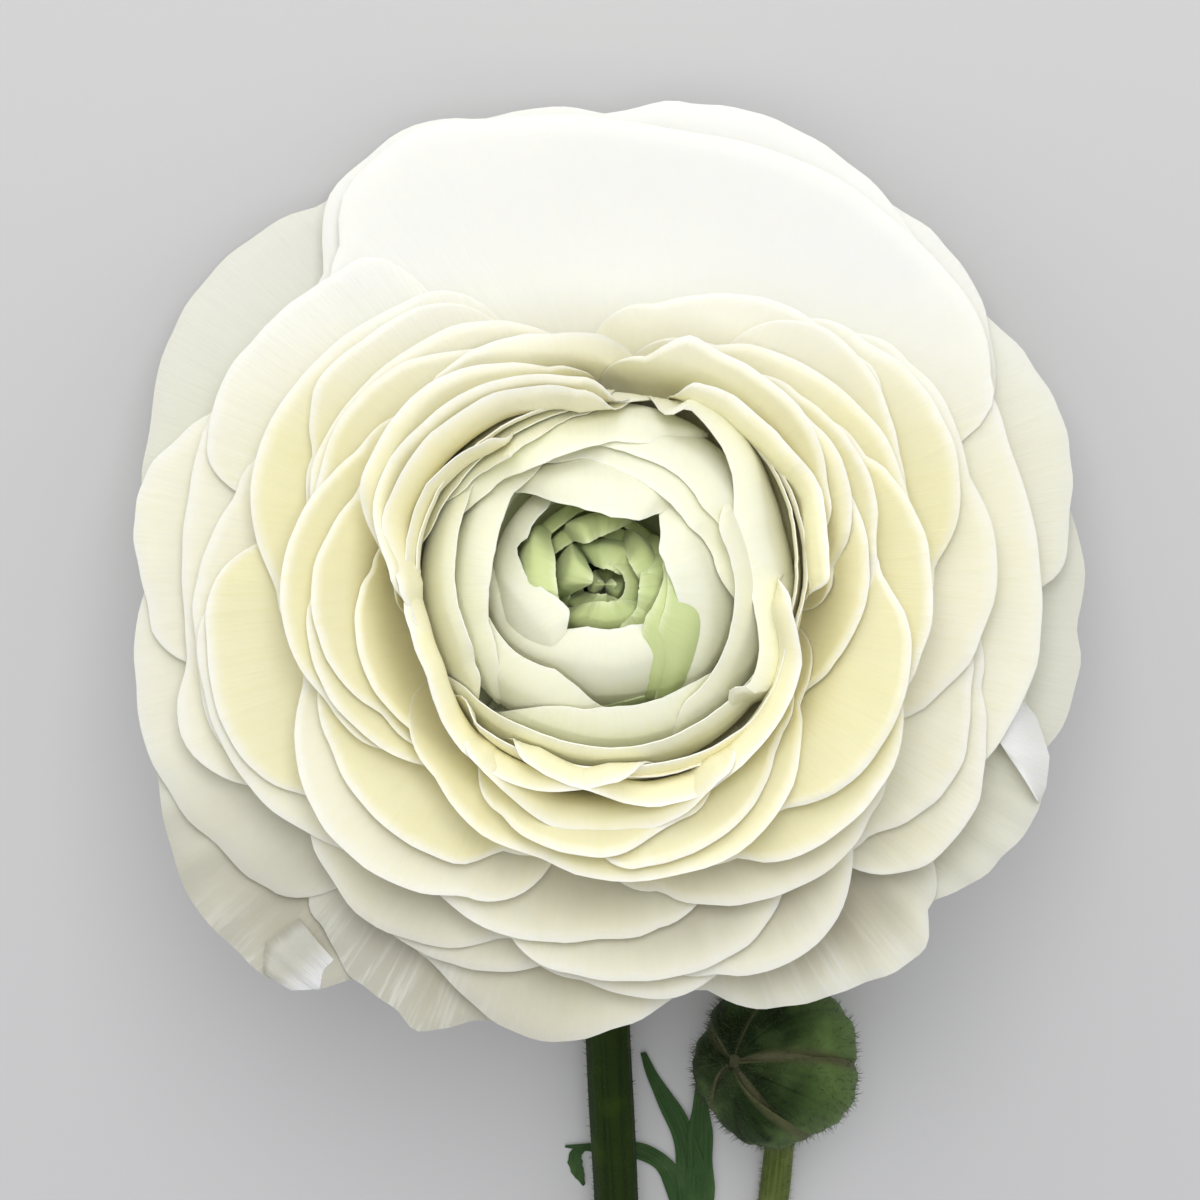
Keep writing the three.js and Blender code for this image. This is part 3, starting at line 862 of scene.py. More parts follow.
# %% Ball petals
add_petals(
    {"skin": "ball", "lip": 4.5, "bend": -32, "dent": 0.05, "wave": 0.08, "margin": 32, "softness": 5},
    plain="""
ball_petal_left 0.42 length=29 120:10.5 126:9.6 141:9.5 149:9 156:9.8 167:8.5 175:7.8 180:6.5 194:4.9
    210:4.4;
ball_petal_bottom 0.437 length=29.4 bend=-38 200:9.2 204:8.6 216:7.3 229:5.8 247:4.5 279:4.5 300:4.6 316:5.5
    324:6.5;
ball_petal_right 0.472 length=30.8 -62:14.6 -54:12.4 -46:10.4 -36:9.3 -26:8.6 -14:7.6 -4:6.9 12:6.3 33:6.3
    50:8.4 58:9.8;
ball_petal_top 0.486 length=31 48:9.9 56:8.4 61:7.2 84:6.7 105:7.6 122:9.6 129:11.7 138:13.8;
ball_petal_top_right 0.512 length=30.5 15:11.2 29:10.6 34:10.2 47:10.3 56:10.4 69:10.8 78:11.2 94:12.3
    100:13;
ball_petal_low_left 0.52 length=29.5 162:13.2 170:12.8 193:12.1 215:11.3 240:9.8 254:10.4 264:11.6 272:12.6;
ball_petal_low_right 0.535 length=30 260:12.8 269:12.2 283:12.4 294:12.6 306:12.8 319:13.6 333:15.2;
ball_petal_crown 0.545 length=31 26:13 39:12.4 53:13 62:13.1 78:13.2 93:14 108:15.5;
ball_petal_top_left 0.562 length=31 86:14.4 92:14 103:13.65 117:13.6 127:14 134:14.8 142:14.8 150:15.6
    160:16.5
""",
    extra="""
ball_brow 0.585 length=30.5 lip=2 bend=-10 margin=16 100:17.2 106:16.8 113:16.2 121:16.2 127:15.9 135:16.4
    142:17;
ball_cheek 0.555 length=30.2 lip=2.5 bend=-18 margin=18 -52:14.2 -35:13.7 -15:13.2 5:12.9 22:12.6;
ball_cheek_left 0.572 length=30.4 lip=2.5 bend=-18 margin=14 140:16.8 150:16 165:15.4 180:15 195:14.6
    206:14.6 212:15.4;
ball_side 0.5 length=29.6 134:13 145:12.2 158:11.6 172:11.4 186:11.7 198:12.3;
ball_brow_outer 0.598 length=30.8 lip=2 bend=-12 margin=16 88:18.3 100:17.9 115:17.6 130:17.6 145:17.8
    158:18.2;
chin_inner 0.575 length=30.3 lip=2.5 bend=-18 margin=18 222:17.2 236:16.5 246:16.2 258:16.2 270:16.3
    286:16.5 298:16.6 311:16.8 329:17.4
""",
)

# %% [markdown]
# ### Cup petals
#
# The cup petals stand up round the ball, cream inside, with crisp pale rims that roll outwards. Many of
# them stand so nearly upright that they need a swing. Of the crescents, sweeps and slips only a thin line
# shows.

# %% Cup petals
add_petals(
    {"skin": "cream", "bend": 46, "margin": 12, "softness": 3, "dent": 0.08},
    plain="""
cup_petal_right 0.603 skin=ball swing=31.5 bend=-55 lip=4.5 margin=16 taper=1.4 -34:17.6 -25:17 -10:15.2
    5:13.8 17:13.4 29.7:14.7 41.5:16.9 51.5:18.3 57.8:18.9 64:19.5;
cup_petal_bottom 0.645 swing=31.8 bend=56 margin=20 taper=1.2
    lip=182:1.2,192:2.6,206:3,216:3,229:2.8,247:2.6,265:1.8 187:20.3 192.6:20.1 206:20 216:20.9 222:21.5
    229:22 237:22 247:21.95 255.5:21.4 265:20.5 272:19.8;
cup_petal_top 0.7 lip=110:1,120:1.4,130:1.5,140:1.9,150:1.8,160:1.9,170:1.4,178:0.8 104:22.4 108:23.2
    114:24.3 119.5:25.3 124:26 131:26.8 138:27.1 146:26.9 151:26.7 158:26.6 164:25 169:23.4 174:22.1
    178.5:21.1;
cup_petal_low_left 0.74 lip=0.8 176:23.2 180:24.5 188:25.3 197:25.6 205:25.4 213:24.7 221:23.9 227.5:23.5
    231:22.3;
cup_petal_top_right 0.72 lip=1.1 22:24.1 28:25 35:26 42:26.4 49:26.3 57:26.2 65:25.9 71:26.6 75:25.1 80:23;
cup_petal_low_right 0.765 lip=1 -52:28.4 -48:29.7 -43:30.9 -37:31.7 -31:32 -25:32.1 -19.5:32 -14.5:31.6
    -10:31.1 -5:30.1 -2:28.9 3:27.5
""",
    extra="""
chin_outer 0.618 swing=30.8 lip=3 bend=-30 margin=14 228:19 244:18.4 252:18.3 262:18.3 271.5:18.3 284:18.5
    294.5:19 306:19.6 317:20 330:19.8 342:19;
crescent_inner 0.625 swing=31.2 margin=16 taper=1.2 lip=3.4 130:18.6 138:19.6 145:20 150:20.5 160:20.5
    170:20.3 180:19.9 190:19.4;
crescent_floor 0.611 swing=29.5 lip=1 bend=24 98:18.7 110:18.7 130:18.9 150:19.3 168:19.2 182:18.7;
crescent_wide 0.655 swing=32.5 bend=36 margin=20 taper=1.3
    lip=100:1.3,110:1.6,120:1.9,130:1.9,140:2.6,150:3,160:3,170:2.4,180:1.6 98:19.6 105:20.8 110:21 120:22.2
    130:22.6 140:23.2 150:23.2 160:23.3 165:23.2 170:22.2 180:20.6;
crescent_thin 0.68 swing=33 lip=1.2 margin=20 taper=1.3 98:21 110:22.4 120:23.4 130:24.1 140:24.5 150:25
    160:24.7 165:24 170:22.9 176:21.6;
crescent_flap 0.725 bend=42 margin=6 lip=71:1,78:2.6,86.5:4.3,92:4,97:3.2,105:2.4,112:2,120:0.9,128:0.5
    71:19 74.5:19.8 78:20.9 82:22.6 86.5:24.3 92:25.2 97:25.5 102:25.6 107:26.3 113:26.6 120:27 129:26.8;
cup_sweep 0.668 swing=31.8 lip=2.6 bend=52 248:19.6 258:20.4 266:20.7 269.5:21.1 275:22 282:22.8 289:23
    295:23.2 305:22.75 315:22.4 321:22.2 331:21.8 339:21.1 347:19.7 353:18.7;
sweep_floor 0.64 swing=29 lip=1 bend=30 275:19.2 290:20.1 305:20.7 320:20.9 335:20.4 345:19.6;
cup_under 0.69 swing=32.2 lip=1.8 bend=48 234:22 241:22.6 250:23.8 257:24.8 264:24.9 270:25 276:24.9
    282:24.8 290:24.2 295:23.4 301:22.6;
cup_under_lower 0.708 245:25 250:26.2 258:27 264:27.2 270:27.4 275:26.8 281:25.5 284:25 290:24.5;
cup_under_right 0.723 lip=0.9 276:28.6 287:28.3 295:27.8 303:26.8 310:25.3 315:24 321:23;
slip_right_first 0.69 swing=31.6 lip=1.3 margin=7 taper=0.8 2:22.4 7.6:22.6 15.4:23 23:23.7 28.6:23.6
    34:23.1 41.4:23 48.6:22.8 55:22.9 60.5:22.6 65:22.2;
slip_right_floor 0.655 swing=28.5 lip=1 bend=30 -14:19.4 0:20.2 12:20.6 24:20.8 36:21 46:21.2 54:20.9;
slip_right_step 0.632 swing=28 lip=1 bend=30 -12:18.6 0:19.2 12:19.6 24:20.2 36:20.6 44:20.6;
slip_right_second 0.735 lip=1.5 4:22.8 6:23.3 11:24.9 17:25.8 22:26.4 29:26.9 35:26.7 40:26.2;
slip_right_low 0.748 -29:22.4 -22:23.9 -15:24.8 -10:25.5 -5:26.1 0:26.4 6:26.6 11:26.7 18:26.3
""",
)

# %% [markdown]
# ### Middle petals
#
# The middle petals lean out further and further, in a loose spiral. They lie so close that each shows only
# a few millimetres of itself past the one before.

# %% Middle petals
add_petals(
    {"skin": "cream", "bend": 26, "lip": 0.8, "margin": 20},
    plain="""
middle_petal_bottom 0.738 lip=1.3 228:25.6 235:26.9 243:27.9 250:28.05 257.6:28.1 264.5:29.2 270:29.6
    277:29.95 284:30 291:30.1 297.5:29.9 302:29.4 307.6:28.5 314:27.4 321:25.1 327:23.6 329:22.5;
middle_petal_left 0.79 lip=0.9 151:28 156:29.2 161:30.2 167:31.3 173:32.1 178.5:32.5 184:32.5 190:32.3
    197:31.4 203:30;
middle_petal_top_left 0.815 lip=1.2 98:24.2 105:26.7 110:28.1 120:30.1 130:30.8 140:31.3 147:31.6 154:31.7
    158:31.6 162:31.1 166:30.3;
middle_petal_low_right 0.788 lip=1.2 -64:30.2 -60:32.1 -55:33.3 -49:33.9 -43:34.3 -38:34.4 -33.5:34.3
    -28:33.6 -24:32.7 -18:31;
middle_petal_right 0.8 lip=1.1 -12:32.4 -6:33 -1:32.8 4:32.6 9:32.4 15:31.7 19:31 24:30.1 26:28.9;
middle_petal_top_right 0.82 lip=1.2 16:31.6 21:31.6 24:31.8 30:31.7 35:31.2 41:30.6 47:29.8 53:29 60:27.9
    66:26.2;
middle_petal_low_left 0.81 210:31.8 216:32.5 221:32.7 228:32.7 233.5:32.5 238.6:32.1 242.7:31.6 246:30
    249:28.2
""",
    extra="""
slip_right_third 0.762 lip=0.8 8:27.3 11:27.7 15:28.2 21:28.7 26:28.7 33:28.3 39:27.8 45:27.1;
slip_left_first 0.762 lip=0.9 160:26.5 164:27.3 170:28.3 176:29.3 181:29.45 187:29.4 194:28.9 200:28.1
    206:26.9 211:25.6;
slip_left_low 0.776 lip=0.9 190:30.2 197:30.2 203:29.8 211:28.6 218:27.4 224:25.8 232:23.7 238:21.8;
slip_top_left 0.802 lip=0.9 118:26.8 122:27.6 127:28.9 132:30 139:30.8 146:31.3 153:31.2 160:30.5;
slip_high_left 0.84 lip=0.8 130:34 136:34.6 142:35.3 146:35.2 149:34.4 152:33.5 156:31.8;
slip_high_right 0.838 lip=0.8 15:31.5 19:31.8 24:32.2 29:33 34:33.6 38:34.1 44:34.2
""",
)

# %% [markdown]
# ### Broad petals
#
# The broad petals lie wide open. Most of them are white rather than cream, their outlines have more dents,
# and those of the fan spread under them.

# %% Broad petals
add_petals(
    {"skin": "white", "bend": 18, "lip": 0.9, "dent": 0.13, "margin": 15},
    plain="""
broad_petal_bottom 0.83 lip=1.3 -80:30.8 -77:32.4 -72:33.7 -67.5:34.7 -62:35.5 -56:36 -50:36.3 -45:36
    -40:35;
broad_petal_left 0.86 skin=cream lip=1.2 125:34.5 131:35.5 137.5:36.2 142.5:36.6 147:36.9 150:37.2 155:37.2
    159:37.3 164:36.9 168:36.3 173:35 178:33.6 182:32.6;
broad_petal_right 0.865 skin=cream lip=1.3 3:32.9 7.5:34.8 10:35.8 14:36.6 18:37.3 22:37.7 26:37.7 30:37.7
    37:37 44:35.5;
broad_petal_low_bottom 0.85 lip=1.2 237:32.8 241:35 246:35.9 252:36.4 258:36.4 264:36 269:35.4 276:35.4
    279:34.5;
broad_petal_low_left 0.878 skin=cream 185:40 192:40.5 195:40.7 199:40.8 202:40.7 206.6:40 210.6:38.9
    213.5:37.5 216:36;
broad_petal_low_right 0.88 lip=1.4 -74:40.3 -70.5:41.5 -67:42 -62.5:42.1 -59:41.6 -55:40.7 -52:39.3 -49:37.7
    -45:35;
broad_petal_far_right 0.922 lip=0.8 -20:42.6 -15.6:43.3 -10:44 -5:43.8 0:43.7 4:43.55 9:43.3 14:42.9 20:42.8
    25.5:43.2;
broad_petal_top_left 0.909 margin=8 128:41 132.5:41.3 135.5:41.9 140:42.5 146:43 151:43.4 156.6:43 160:42.2
""",
    extra="""
slip_low_left 0.828 197:31.3 202:33.3 206:34.6 211:35.8 215.5:36.6 220.6:37.2 227:37.2 230:37.2 234.5:36.7
    240:35.7 246:34;
fan_top_right 0.853 skin=cream lip=0.8 40:34.6 43:34 46.5:33.7 51:33.6 56:33.6 62:32.7 70:31 80:28.5;
fan_right 0.884 lip=1.5 -28:30.5 -24:32.6 -22:34 -18:35.2 -12:37.4 -7:38.1 -3:38.9 1:39.2 6:39.3 10:39.1
    14:38.6 17:37.9 20:38.3 27:38.7 32:38.5 37:37.5;
fan_low_right 0.897 crinkle=0.2 dent=0.25 -44:36.2 -38:38.4 -33:39.7 -29:40 -24:39.6 -19:38.6 -14:37.8;
fan_far_low_right 0.912 crinkle=0.2 dent=0.25 -37:43 -33:43.6 -30:43.2 -26.6:42.3 -22.6:41.3 -18.6:40.1
    -14.5:38.9;
fan_bottom 0.866 -96:38.9 -90:39.5 -83:39.9 -75:39.7 -68:38.7 -62:36.6 -58:34.5;
fan_bottom_inner 0.892 266:39.4 273:41.2 279:41.9 283:41.4 288:40;
fan_low_left 0.888 190:41.3 199:41.7 204.5:41.35 211:40.75 215:40 219:38.9 223.4:37.8 228:36.5;
fan_low_middle 0.898 215:36.5 222:39.3 228:40.3 232.5:41.2 237:41.1 243:40.3 248:39.2 251.6:37.6 254:36.4;
fan_low 0.908 241:41 246:41 251:40.75 255:40 259:39.1 263:37.7 267:35.9;
fan_left_inner 0.9 166:38 172:39.5 177:40.5 182:41.2 187:41.3 194:41.7 199:42;
fan_left_outer 0.918 160:43 165:42.8 170:42.5 179:42.3 185:42.1 190:42.4 193:43.4 195:44.3 199:45
""",
)

# %% [markdown]
# ### Outer petals
#
# The outer petals make the flower's outline. They are the widest and the most wavy, and the old ones at
# the bottom have pleats. The veil is a wide thin one that lies over the others at the top, and the skirts
# fill the gaps between them.

# %% Outer petals
add_petals(
    {"skin": "white", "bend": 14, "lip": 2.0, "dent": 0.22, "wave": 0.2, "margin": 9},
    plain="""
outer_petal_top_right 0.924 48:46.5 52.6:47.6 58:48.5 64:49.3 71:49.7 75:49.6 79:48.7 82:49.1 86:47.9
    90:47.2 95:46;
outer_petal_left 0.935 154:42 156.6:43 159:44.4 162.5:45.8 165:47.1 170:47.7 173:47.5 178:46.6 181:46
    185:45.5;
outer_petal_bottom 0.925 244:41 248:42.3 252:43.9 256:45.1 260:45.9 263.7:46 267:45.4 270:44.7 273.6:44
    276:43.2 279:41.9 283:40.3;
outer_petal_low_right 0.95 crinkle=0.14 pleat=0.4 pleats=24 -76:41.5 -73:43.8 -70:45.1 -65:46.2 -61:46.9
    -57:47.6 -53:48.2 -49.5:48.7 -47:47.9 -45:45.1;
outer_petal_top 0.933 86:46.5 90:47.2 97:48.3 105:48.2 112:49.9 116:49.6 120:48.8 125:48.2 126.6:47.2
    132.5:41.3;
outer_petal_low_left 0.957 pleat=0.46 pleats=26 198:47.5 203:48.6 210:50.5 218:52.1 226:52 232:51.3
    234.5:49.8 237:46.8 240:44;
outer_petal_right 0.95 5:46.5 9:47 14:48.1 18:48.7 23:48.7 29:47.9 35:46.7 40:46;
outer_petal_far_right 0.978 -22:46.4 -20:47 -18:47.9 -12:48.1 -8:48.1 -5:47.3 0:48 5.5:47.7 9:47 14:46.5;
outer_petal_top_left 0.964 124:47.5 127:47.2 130:48.6 135:49.5 141:50.3 147:50.4 150:49.9 155:49.6 159:48.4
    163:47.9 166:47.7
""",
    extra="""
veil_top 0.916 margin=8 28:43.6 31:45 34:45.7 38.5:46.3 46.5:46.4 56:46.9 63:46.8 71:46.5 82:46 88:46.4
    93:47.2 103:47.8 110:49.2 114:49.3 119:48.4 123:47.4 126:45.6 128.5:42;
skirt_top_right 0.937 24:42.6 25.5:43 27.6:44.3 30.7:45.1 35:46.7 39:47.5 43:48.1 47:48.3 53:47.6 58:47.5;
skirt_left 0.946 178:45.5 181:46 184:47 191:47.9 198:48.6 203:48.5 210:47.8 214:46.5 219:46.3 222:44.9;
skirt_low 0.948 230:44 237:46.8 241:47 245:47.2 247:49.1 249:47.5 251:46.7 254:45;
skirt_right 0.962 crinkle=0.12 pleat=0.3 -44:45.4 -40.3:46.8 -37:47.9 -33.6:48.3 -30:48.9 -26.5:48.7 -23:48
    -19.7:47 -15.6:43.3
""",
)

# %% [markdown]
# ## All the petals
#
# Now each petal of the list is made. Its place in the list gives it its seed, and so waves of its own: a
# petal added to a text changes the waves of all those that come after it.

# %% All the petals
for number, row in enumerate(PLAIN_PETALS + EXTRA_PETALS):
    nodes = [row["name"]] if number < len(PLAIN_PETALS) else []
    make_petal(row | {"seed": number * 10, "nodes": nodes})
print("petals made:", len(PLAIN_PETALS) + len(EXTRA_PETALS))

# %% [markdown]
# ## Folded rims
#
# Two of the outermost petals have a piece of rim turned back over their own face. Each fold is a small
# sheet between two edges, again read from the front as angle:radius: the edge where the petal creases,
# which lies on that petal's rim, and the free edge that was once its rim, which stands up over its face.
# The fold's foot says how far along the bloom's axis the crease lies, and its rise how far the free edge
# stands up from there.

# %% Folded rims
WHITE_FOLD = petal_skin("petal_fold", (0.95, 0.95, 0.92), (0.94, 0.94, 0.90), (0.92, 0.92, 0.86))
# The low left fold's tones are painted light and shade: a painted highlight along its crease, at its foot,
# and painted shade towards its free edge, dark like the shade painted on the petal below it.
FOLD_PAINTED_LIGHT_AND_SHADE = petal_skin("petal_fold_painted_light_and_shade", (0.42, 0.41, 0.34), (0.62, 0.61, 0.54), (0.95, 0.95, 0.92))
FOLD_COLUMNS, FOLD_ROWS = 30, 14


def edge_points(text, across):
    """Angle, in radians, and radius along one edge of a fold."""
    turns, radii = zip(*pairs(text))
    places = np.linspace(0, 1, len(turns))
    return np.radians(np.interp(across, places, turns)), np.interp(across, places, radii)


def make_fold(name, crease, free, foot, rise, skin):
    def shape(across, up):
        across = (across + 1) / 2
        crease_turn, crease_radius = edge_points(crease, across)
        free_turn, free_radius = edge_points(free, across)
        turn = crease_turn + (free_turn - crease_turn) * up
        radius = crease_radius + (free_radius - crease_radius) * up
        height = foot + rise * np.sin(np.pi / 2 * up) * np.sin(np.pi * (0.08 + 0.84 * across)) ** 0.5
        radius = radius * (VIEW_HEIGHT - height) / VIEW_PLANE
        return on_table(around(radius, turn, height + 0.12 * np.sin(across * 14)))

    piece = thick_sheet(name, FOLD_COLUMNS, FOLD_ROWS, shape, PETAL_THICKNESS)
    finish_piece(piece, skin, "petal_white")


make_fold(
    "fold_right", foot=-2.1, rise=3.9, skin=WHITE_FOLD,
    crease="-15.5:43.4 -17:45.1 -21.1:47.6 -24.7:48.5 -26.6:48.5",
    free="-15.7:43.2 -18.3:42.5 -21.5:42.2 -23.2:44.2 -26.4:48.2",
)
make_fold(
    "fold_low_left", foot=-1.8, rise=1.7, skin=FOLD_PAINTED_LIGHT_AND_SHADE,
    crease="232.2:51.2 234.8:49.4 235.6:46.4",
    free="228.6:51.6 226.4:49.2 227.4:45.2",
)
print("folds made: 2")

# %% [markdown]
# ## Green skins
#
# Stem, sepals and leaf are green, dull and slightly furry. They share one recipe: long strands that follow
# the piece's UV map, paler patches, and a fine grain. The bud's sepals have more: painted light makes them
# paler on the side that faces the light, they are dark towards their tips, and have thin brownish margins.

# %% Green skins
SEPAL_MARGIN = (0.10, 0.105, 0.045)
PATCH_SCALE, GRAIN_SCALE = 170.0, 1600.0


def green_skin(name, body, pale, dark, strands, margin=None):
    finish = Finish(
        name,
        0.6,
        Subsurface_Weight=0.1,
        Subsurface_Radius=(0.5, 1.0, 0.25),
        Subsurface_Scale=0.001,
        Sheen_Weight=0.04,
        Sheen_Roughness=0.45,
        Specular_IOR_Level=0.14,
    )
    across, up = finish.along()
    strand = finish.noise(finish.vector(across * strands, up * 3.0, 0.0), 1.0, 4.0, 0.6)
    patch = finish.noise(finish.place(), PATCH_SCALE, 3.0)
    grain = finish.noise(finish.place(), GRAIN_SCALE, 2.0)
    tone = finish.blend(strand.ramp(0.42, 0.68), body, dark)
    tone = finish.blend(patch.ramp(0.46, 0.72) * 0.7, tone, pale)
    if margin:
        # Painted light: paler on the side of the bud that faces the light, except near the tip.
        lit_side = finish.measure(RIGHT).ramp(0.018, 0.0265) * (0.35 + patch * 0.9)
        tone = finish.blend(up.ramp(0.98, 0.6) * lit_side, tone, pale)
        tone = finish.blend(up.ramp(0.62, 0.9) * 0.6, tone, dark)
        edge = ((across - 0.5).size() * 2.0 + (strand - 0.5) * 0.25).ramp(0.74, 0.97)
        tone = finish.blend(edge, tone, margin)
    finish.colour(tone)
    finish.roughness(0.5 + patch * 0.25)
    finish.relief(strand * 0.6 + grain * 0.4, 0.0003, 0.8)
    return finish.material


STEM_SKIN = green_skin("stem_green", (0.018, 0.038, 0.002), (0.034, 0.062, 0.003), (0.008, 0.02, 0.001), 24.0)
STALK_SKIN = green_skin("stalk_green", (0.125, 0.165, 0.038), (0.19, 0.23, 0.07), (0.07, 0.10, 0.018), 24.0)
SEPAL_SKIN = green_skin(
    "sepal_green", (0.016, 0.040, 0.005), (0.13, 0.215, 0.06), (0.004, 0.012, 0.001), 11.0, SEPAL_MARGIN
)
LEAF_SKIN = green_skin("leaf_green", (0.048, 0.108, 0.032), (0.095, 0.17, 0.06), (0.03, 0.075, 0.022), 9.0)
HUSK_SKIN = green_skin("bud_husk", (0.12, 0.12, 0.06), (0.20, 0.20, 0.115), (0.05, 0.055, 0.022), 40.0)
DOWN_SKIN = green_skin("down", (0.065, 0.09, 0.035), (0.13, 0.16, 0.08), (0.03, 0.05, 0.015), 4.0)
print("materials so far:", [material.name for material in bpy.data.materials])

# %% [markdown]
# ## Rods and other closed rolls
#
# A rod is a sheet rolled once round: its first coordinate becomes the angle and its second the way along a
# smooth path. The seam and the two ends are then drawn together, so that the rod is closed. Low ribs run
# down it, as on the real hollow stem. A curve with a round bevel could do too, but it has no ribs, and its
# ends stay open.

# %% Rods and other closed rolls
SHOOT_FOOT = np.array([BLOOM_PLACE[0], BLOOM_PLACE[1], 0.0])
MERGE_DISTANCE = 2e-6
ROD_COLUMNS = 72
PATH_STEP = 0.002


def path_through(points, where):
    """A smooth curve through points: places from 0 to 1 along it to points."""
    points = np.asarray(points, dtype=float)
    padded = np.vstack([2 * points[0] - points[1], points, 2 * points[-1] - points[-2]])
    steps = np.linalg.norm(np.diff(points, axis=0), axis=1)
    knots = np.concatenate([[0], np.cumsum(steps)])
    place = where * knots[-1]
    index = np.clip(np.searchsorted(knots, place, side="right") - 1, 0, len(points) - 2)
    share = ((place - knots[index]) / steps[index])[:, None]
    before, start, end, after = (padded[index + k] for k in range(4))
    bend = 2 * before - 5 * start + 4 * end - after
    twist = 3 * start - before - 3 * end + after
    return 0.5 * (2 * start + (end - before) * share + bend * share**2 + twist * share**3)


def way_along(points, where, step):
    """The direction of the same curve."""
    before, after = (path_through(points, (where + by).clip(0, 1)) for by in (-step, step))
    return unit(after - before)


def rolled(name, columns, rows, shape):
    """A closed skin: a sheet rolled once round, with its seam and its ends drawn together."""
    piece = sheet(name, columns, rows, lambda across, up: shape(across * np.pi, up))
    bpy.ops.object.mode_set(mode="EDIT")
    bpy.ops.mesh.select_all(action="SELECT")
    bpy.ops.mesh.remove_doubles(threshold=MERGE_DISTANCE)
    bpy.ops.mesh.normals_make_consistent(inside=False)
    bpy.ops.object.mode_set(mode="OBJECT")
    bpy.ops.object.shade_smooth_by_angle(angle=math.radians(55))
    return piece


def rod(name, route, radius, ribs, depth, rows, skin, slot):
    def shape(turn, along):
        capped = ((along - 1 / rows) / (1 - 2 / rows)).clip(0, 1)
        ahead = way_along(route, capped, PATH_STEP)
        side = unit(np.cross(ahead, [0.0, 0.0, 1.0]))
        over = np.cross(side, ahead)
        swell = 0.03 * np.sin(9 * along * np.pi + 2 * turn)
        grooves = depth * np.abs(np.sin(turn * ribs / 2 + 3 * along))
        size = (radius + (swell - grooves)) * ((along > 0.5 / rows) & (along < 1 - 0.5 / rows))
        out = side * (np.cos(turn) * size)[:, None] + over * (np.sin(turn) * size)[:, None]
        return (path_through(route, capped) + out + SHOOT_FOOT) * MM

    piece = rolled(name + "_skin", ROD_COLUMNS, rows, shape)
    finish_piece(piece, skin, slot, name)
    return piece


print("rods stand on", SHOOT_FOOT, "mm")

# %% [markdown]
# ## Stem and stalk
#
# The stem drops from the receptacle along the bloom's axis, turns in a short neck and then lies on the
# table. The bud's stalk is thinner and paler. It starts beside the stem and rises to the foot of the bud.

# %% Stem and stalk
STEM_TOP, NECK = 10.65, 3.3
stem_head = [0, STEM_TOP * math.cos(BLOOM_RISE), BLOOM_PLACE[2] - STEM_TOP * math.sin(BLOOM_RISE)]
stem_neck = [0, stem_head[1] + NECK * math.cos(BLOOM_RISE), stem_head[2] - NECK * math.sin(BLOOM_RISE)]
STEM_ROUTE = [
    stem_head, stem_neck, [0, 13.4, 5.3], [0, 22, 3.8], [0, 38, 3.6], [-0.2, 62, 3.6],
    [-1.2, 86, 3.6], [-2.1, 106, 3.6], [-2.9, 124, 2.65], [-3.6, 150, 2.6],
]
stem = rod(
    "stem", STEM_ROUTE, radius=2.52, ribs=11, depth=0.09, rows=260, skin=STEM_SKIN, slot="stem_green"
)

BUD_CENTRE = np.array([-18.8, 66.5, 9.15])
BUD_RADIUS = 8.6
BUD_FOOT = Vector((-0.1, 0.75, -0.65)).normalized()
BUD_TIP = Vector((0.6, -0.45, 0.66)).normalized()
STALK_ROUTE = [
    [-7.4, 126, 2.3], [-9.8, 121.5, 1.95], [-14.8, 108, 1.85], [-18.4, 93, 1.85], [-19.6, 80, 1.85],
    BUD_CENTRE + np.array(BUD_FOOT) * (BUD_RADIUS + 2), BUD_CENTRE + np.array(BUD_FOOT) * (BUD_RADIUS + 0.2),
]
stalk = rod(
    "bud_stalk", STALK_ROUTE, radius=1.7, ribs=7, depth=0.07, rows=150, skin=STALK_SKIN, slot="stalk_green"
)
print("rods made:", len(stem.data.polygons), len(stalk.data.polygons), "faces")

# %% [markdown]
# ## The bud's ball
#
# The bud is a ball of young petals in a husk of five sepals that meet near its tip. It nods: its tip
# doesn't lie opposite its foot. So each ring of the ball is turned a little further than the one below,
# from nothing at the foot to the whole nod at the tip.

# %% The bud's ball


def turned(vectors, axis, angle):
    """Vectors turned about one axis, each by its own angle."""
    axis = np.asarray(axis)
    cos, sin = np.cos(angle)[:, None], np.sin(angle)[:, None]
    along = (vectors @ axis)[:, None] * axis
    return vectors * cos + np.cross(axis, vectors) * sin + along * (1 - cos)


upright = np.array(Vector((0, 0, 1)).rotation_difference(-BUD_FOOT).to_matrix())
bud_nod = upright.T @ np.array(BUD_TIP)
nod_axis = unit(np.cross([0, 0, 1], bud_nod))
nod_angle = math.acos(bud_nod[2])


def bud_points(lean, turn, up, radius):
    """Points round the bud: lean from its tip and turn round it, in radians, and up from foot to tip."""
    nodding = turned(around(np.sin(lean), turn, np.cos(lean)), nod_axis, nod_angle * up)
    return (nodding @ upright.T * radius[:, None] + BUD_CENTRE + SHOOT_FOOT) * MM


def ball_shape(turn, along):
    lean = np.pi * (1 - along)
    seams = 0.12 * np.abs(np.sin(turn * 2.5))
    return bud_points(lean, turn, along, BUD_RADIUS - 0.75 + seams * np.sin(lean))


bud_ball = rolled("bud_petals_skin", 90, 60, ball_shape)
finish_piece(bud_ball, HUSK_SKIN, "petal_cream", "bud_petals")
print("the bud nods by", round(math.degrees(nod_angle)), "degrees")

# %% [markdown]
# ## The bud's sepals
#
# Every sepal swells between its ribs, has a groove down its middle and narrows to its tip, and its right
# edge lies over the left edge of the next. All of that is one radius over the ball, summed from a term for
# each of them.

# %% The bud's sepals
SEPAL_HALF_WIDTHS = (41, 44, 38, 43, 40)
SEPAL_FOOT_LEAN, SEPAL_TIP_LEAN = 158, 6


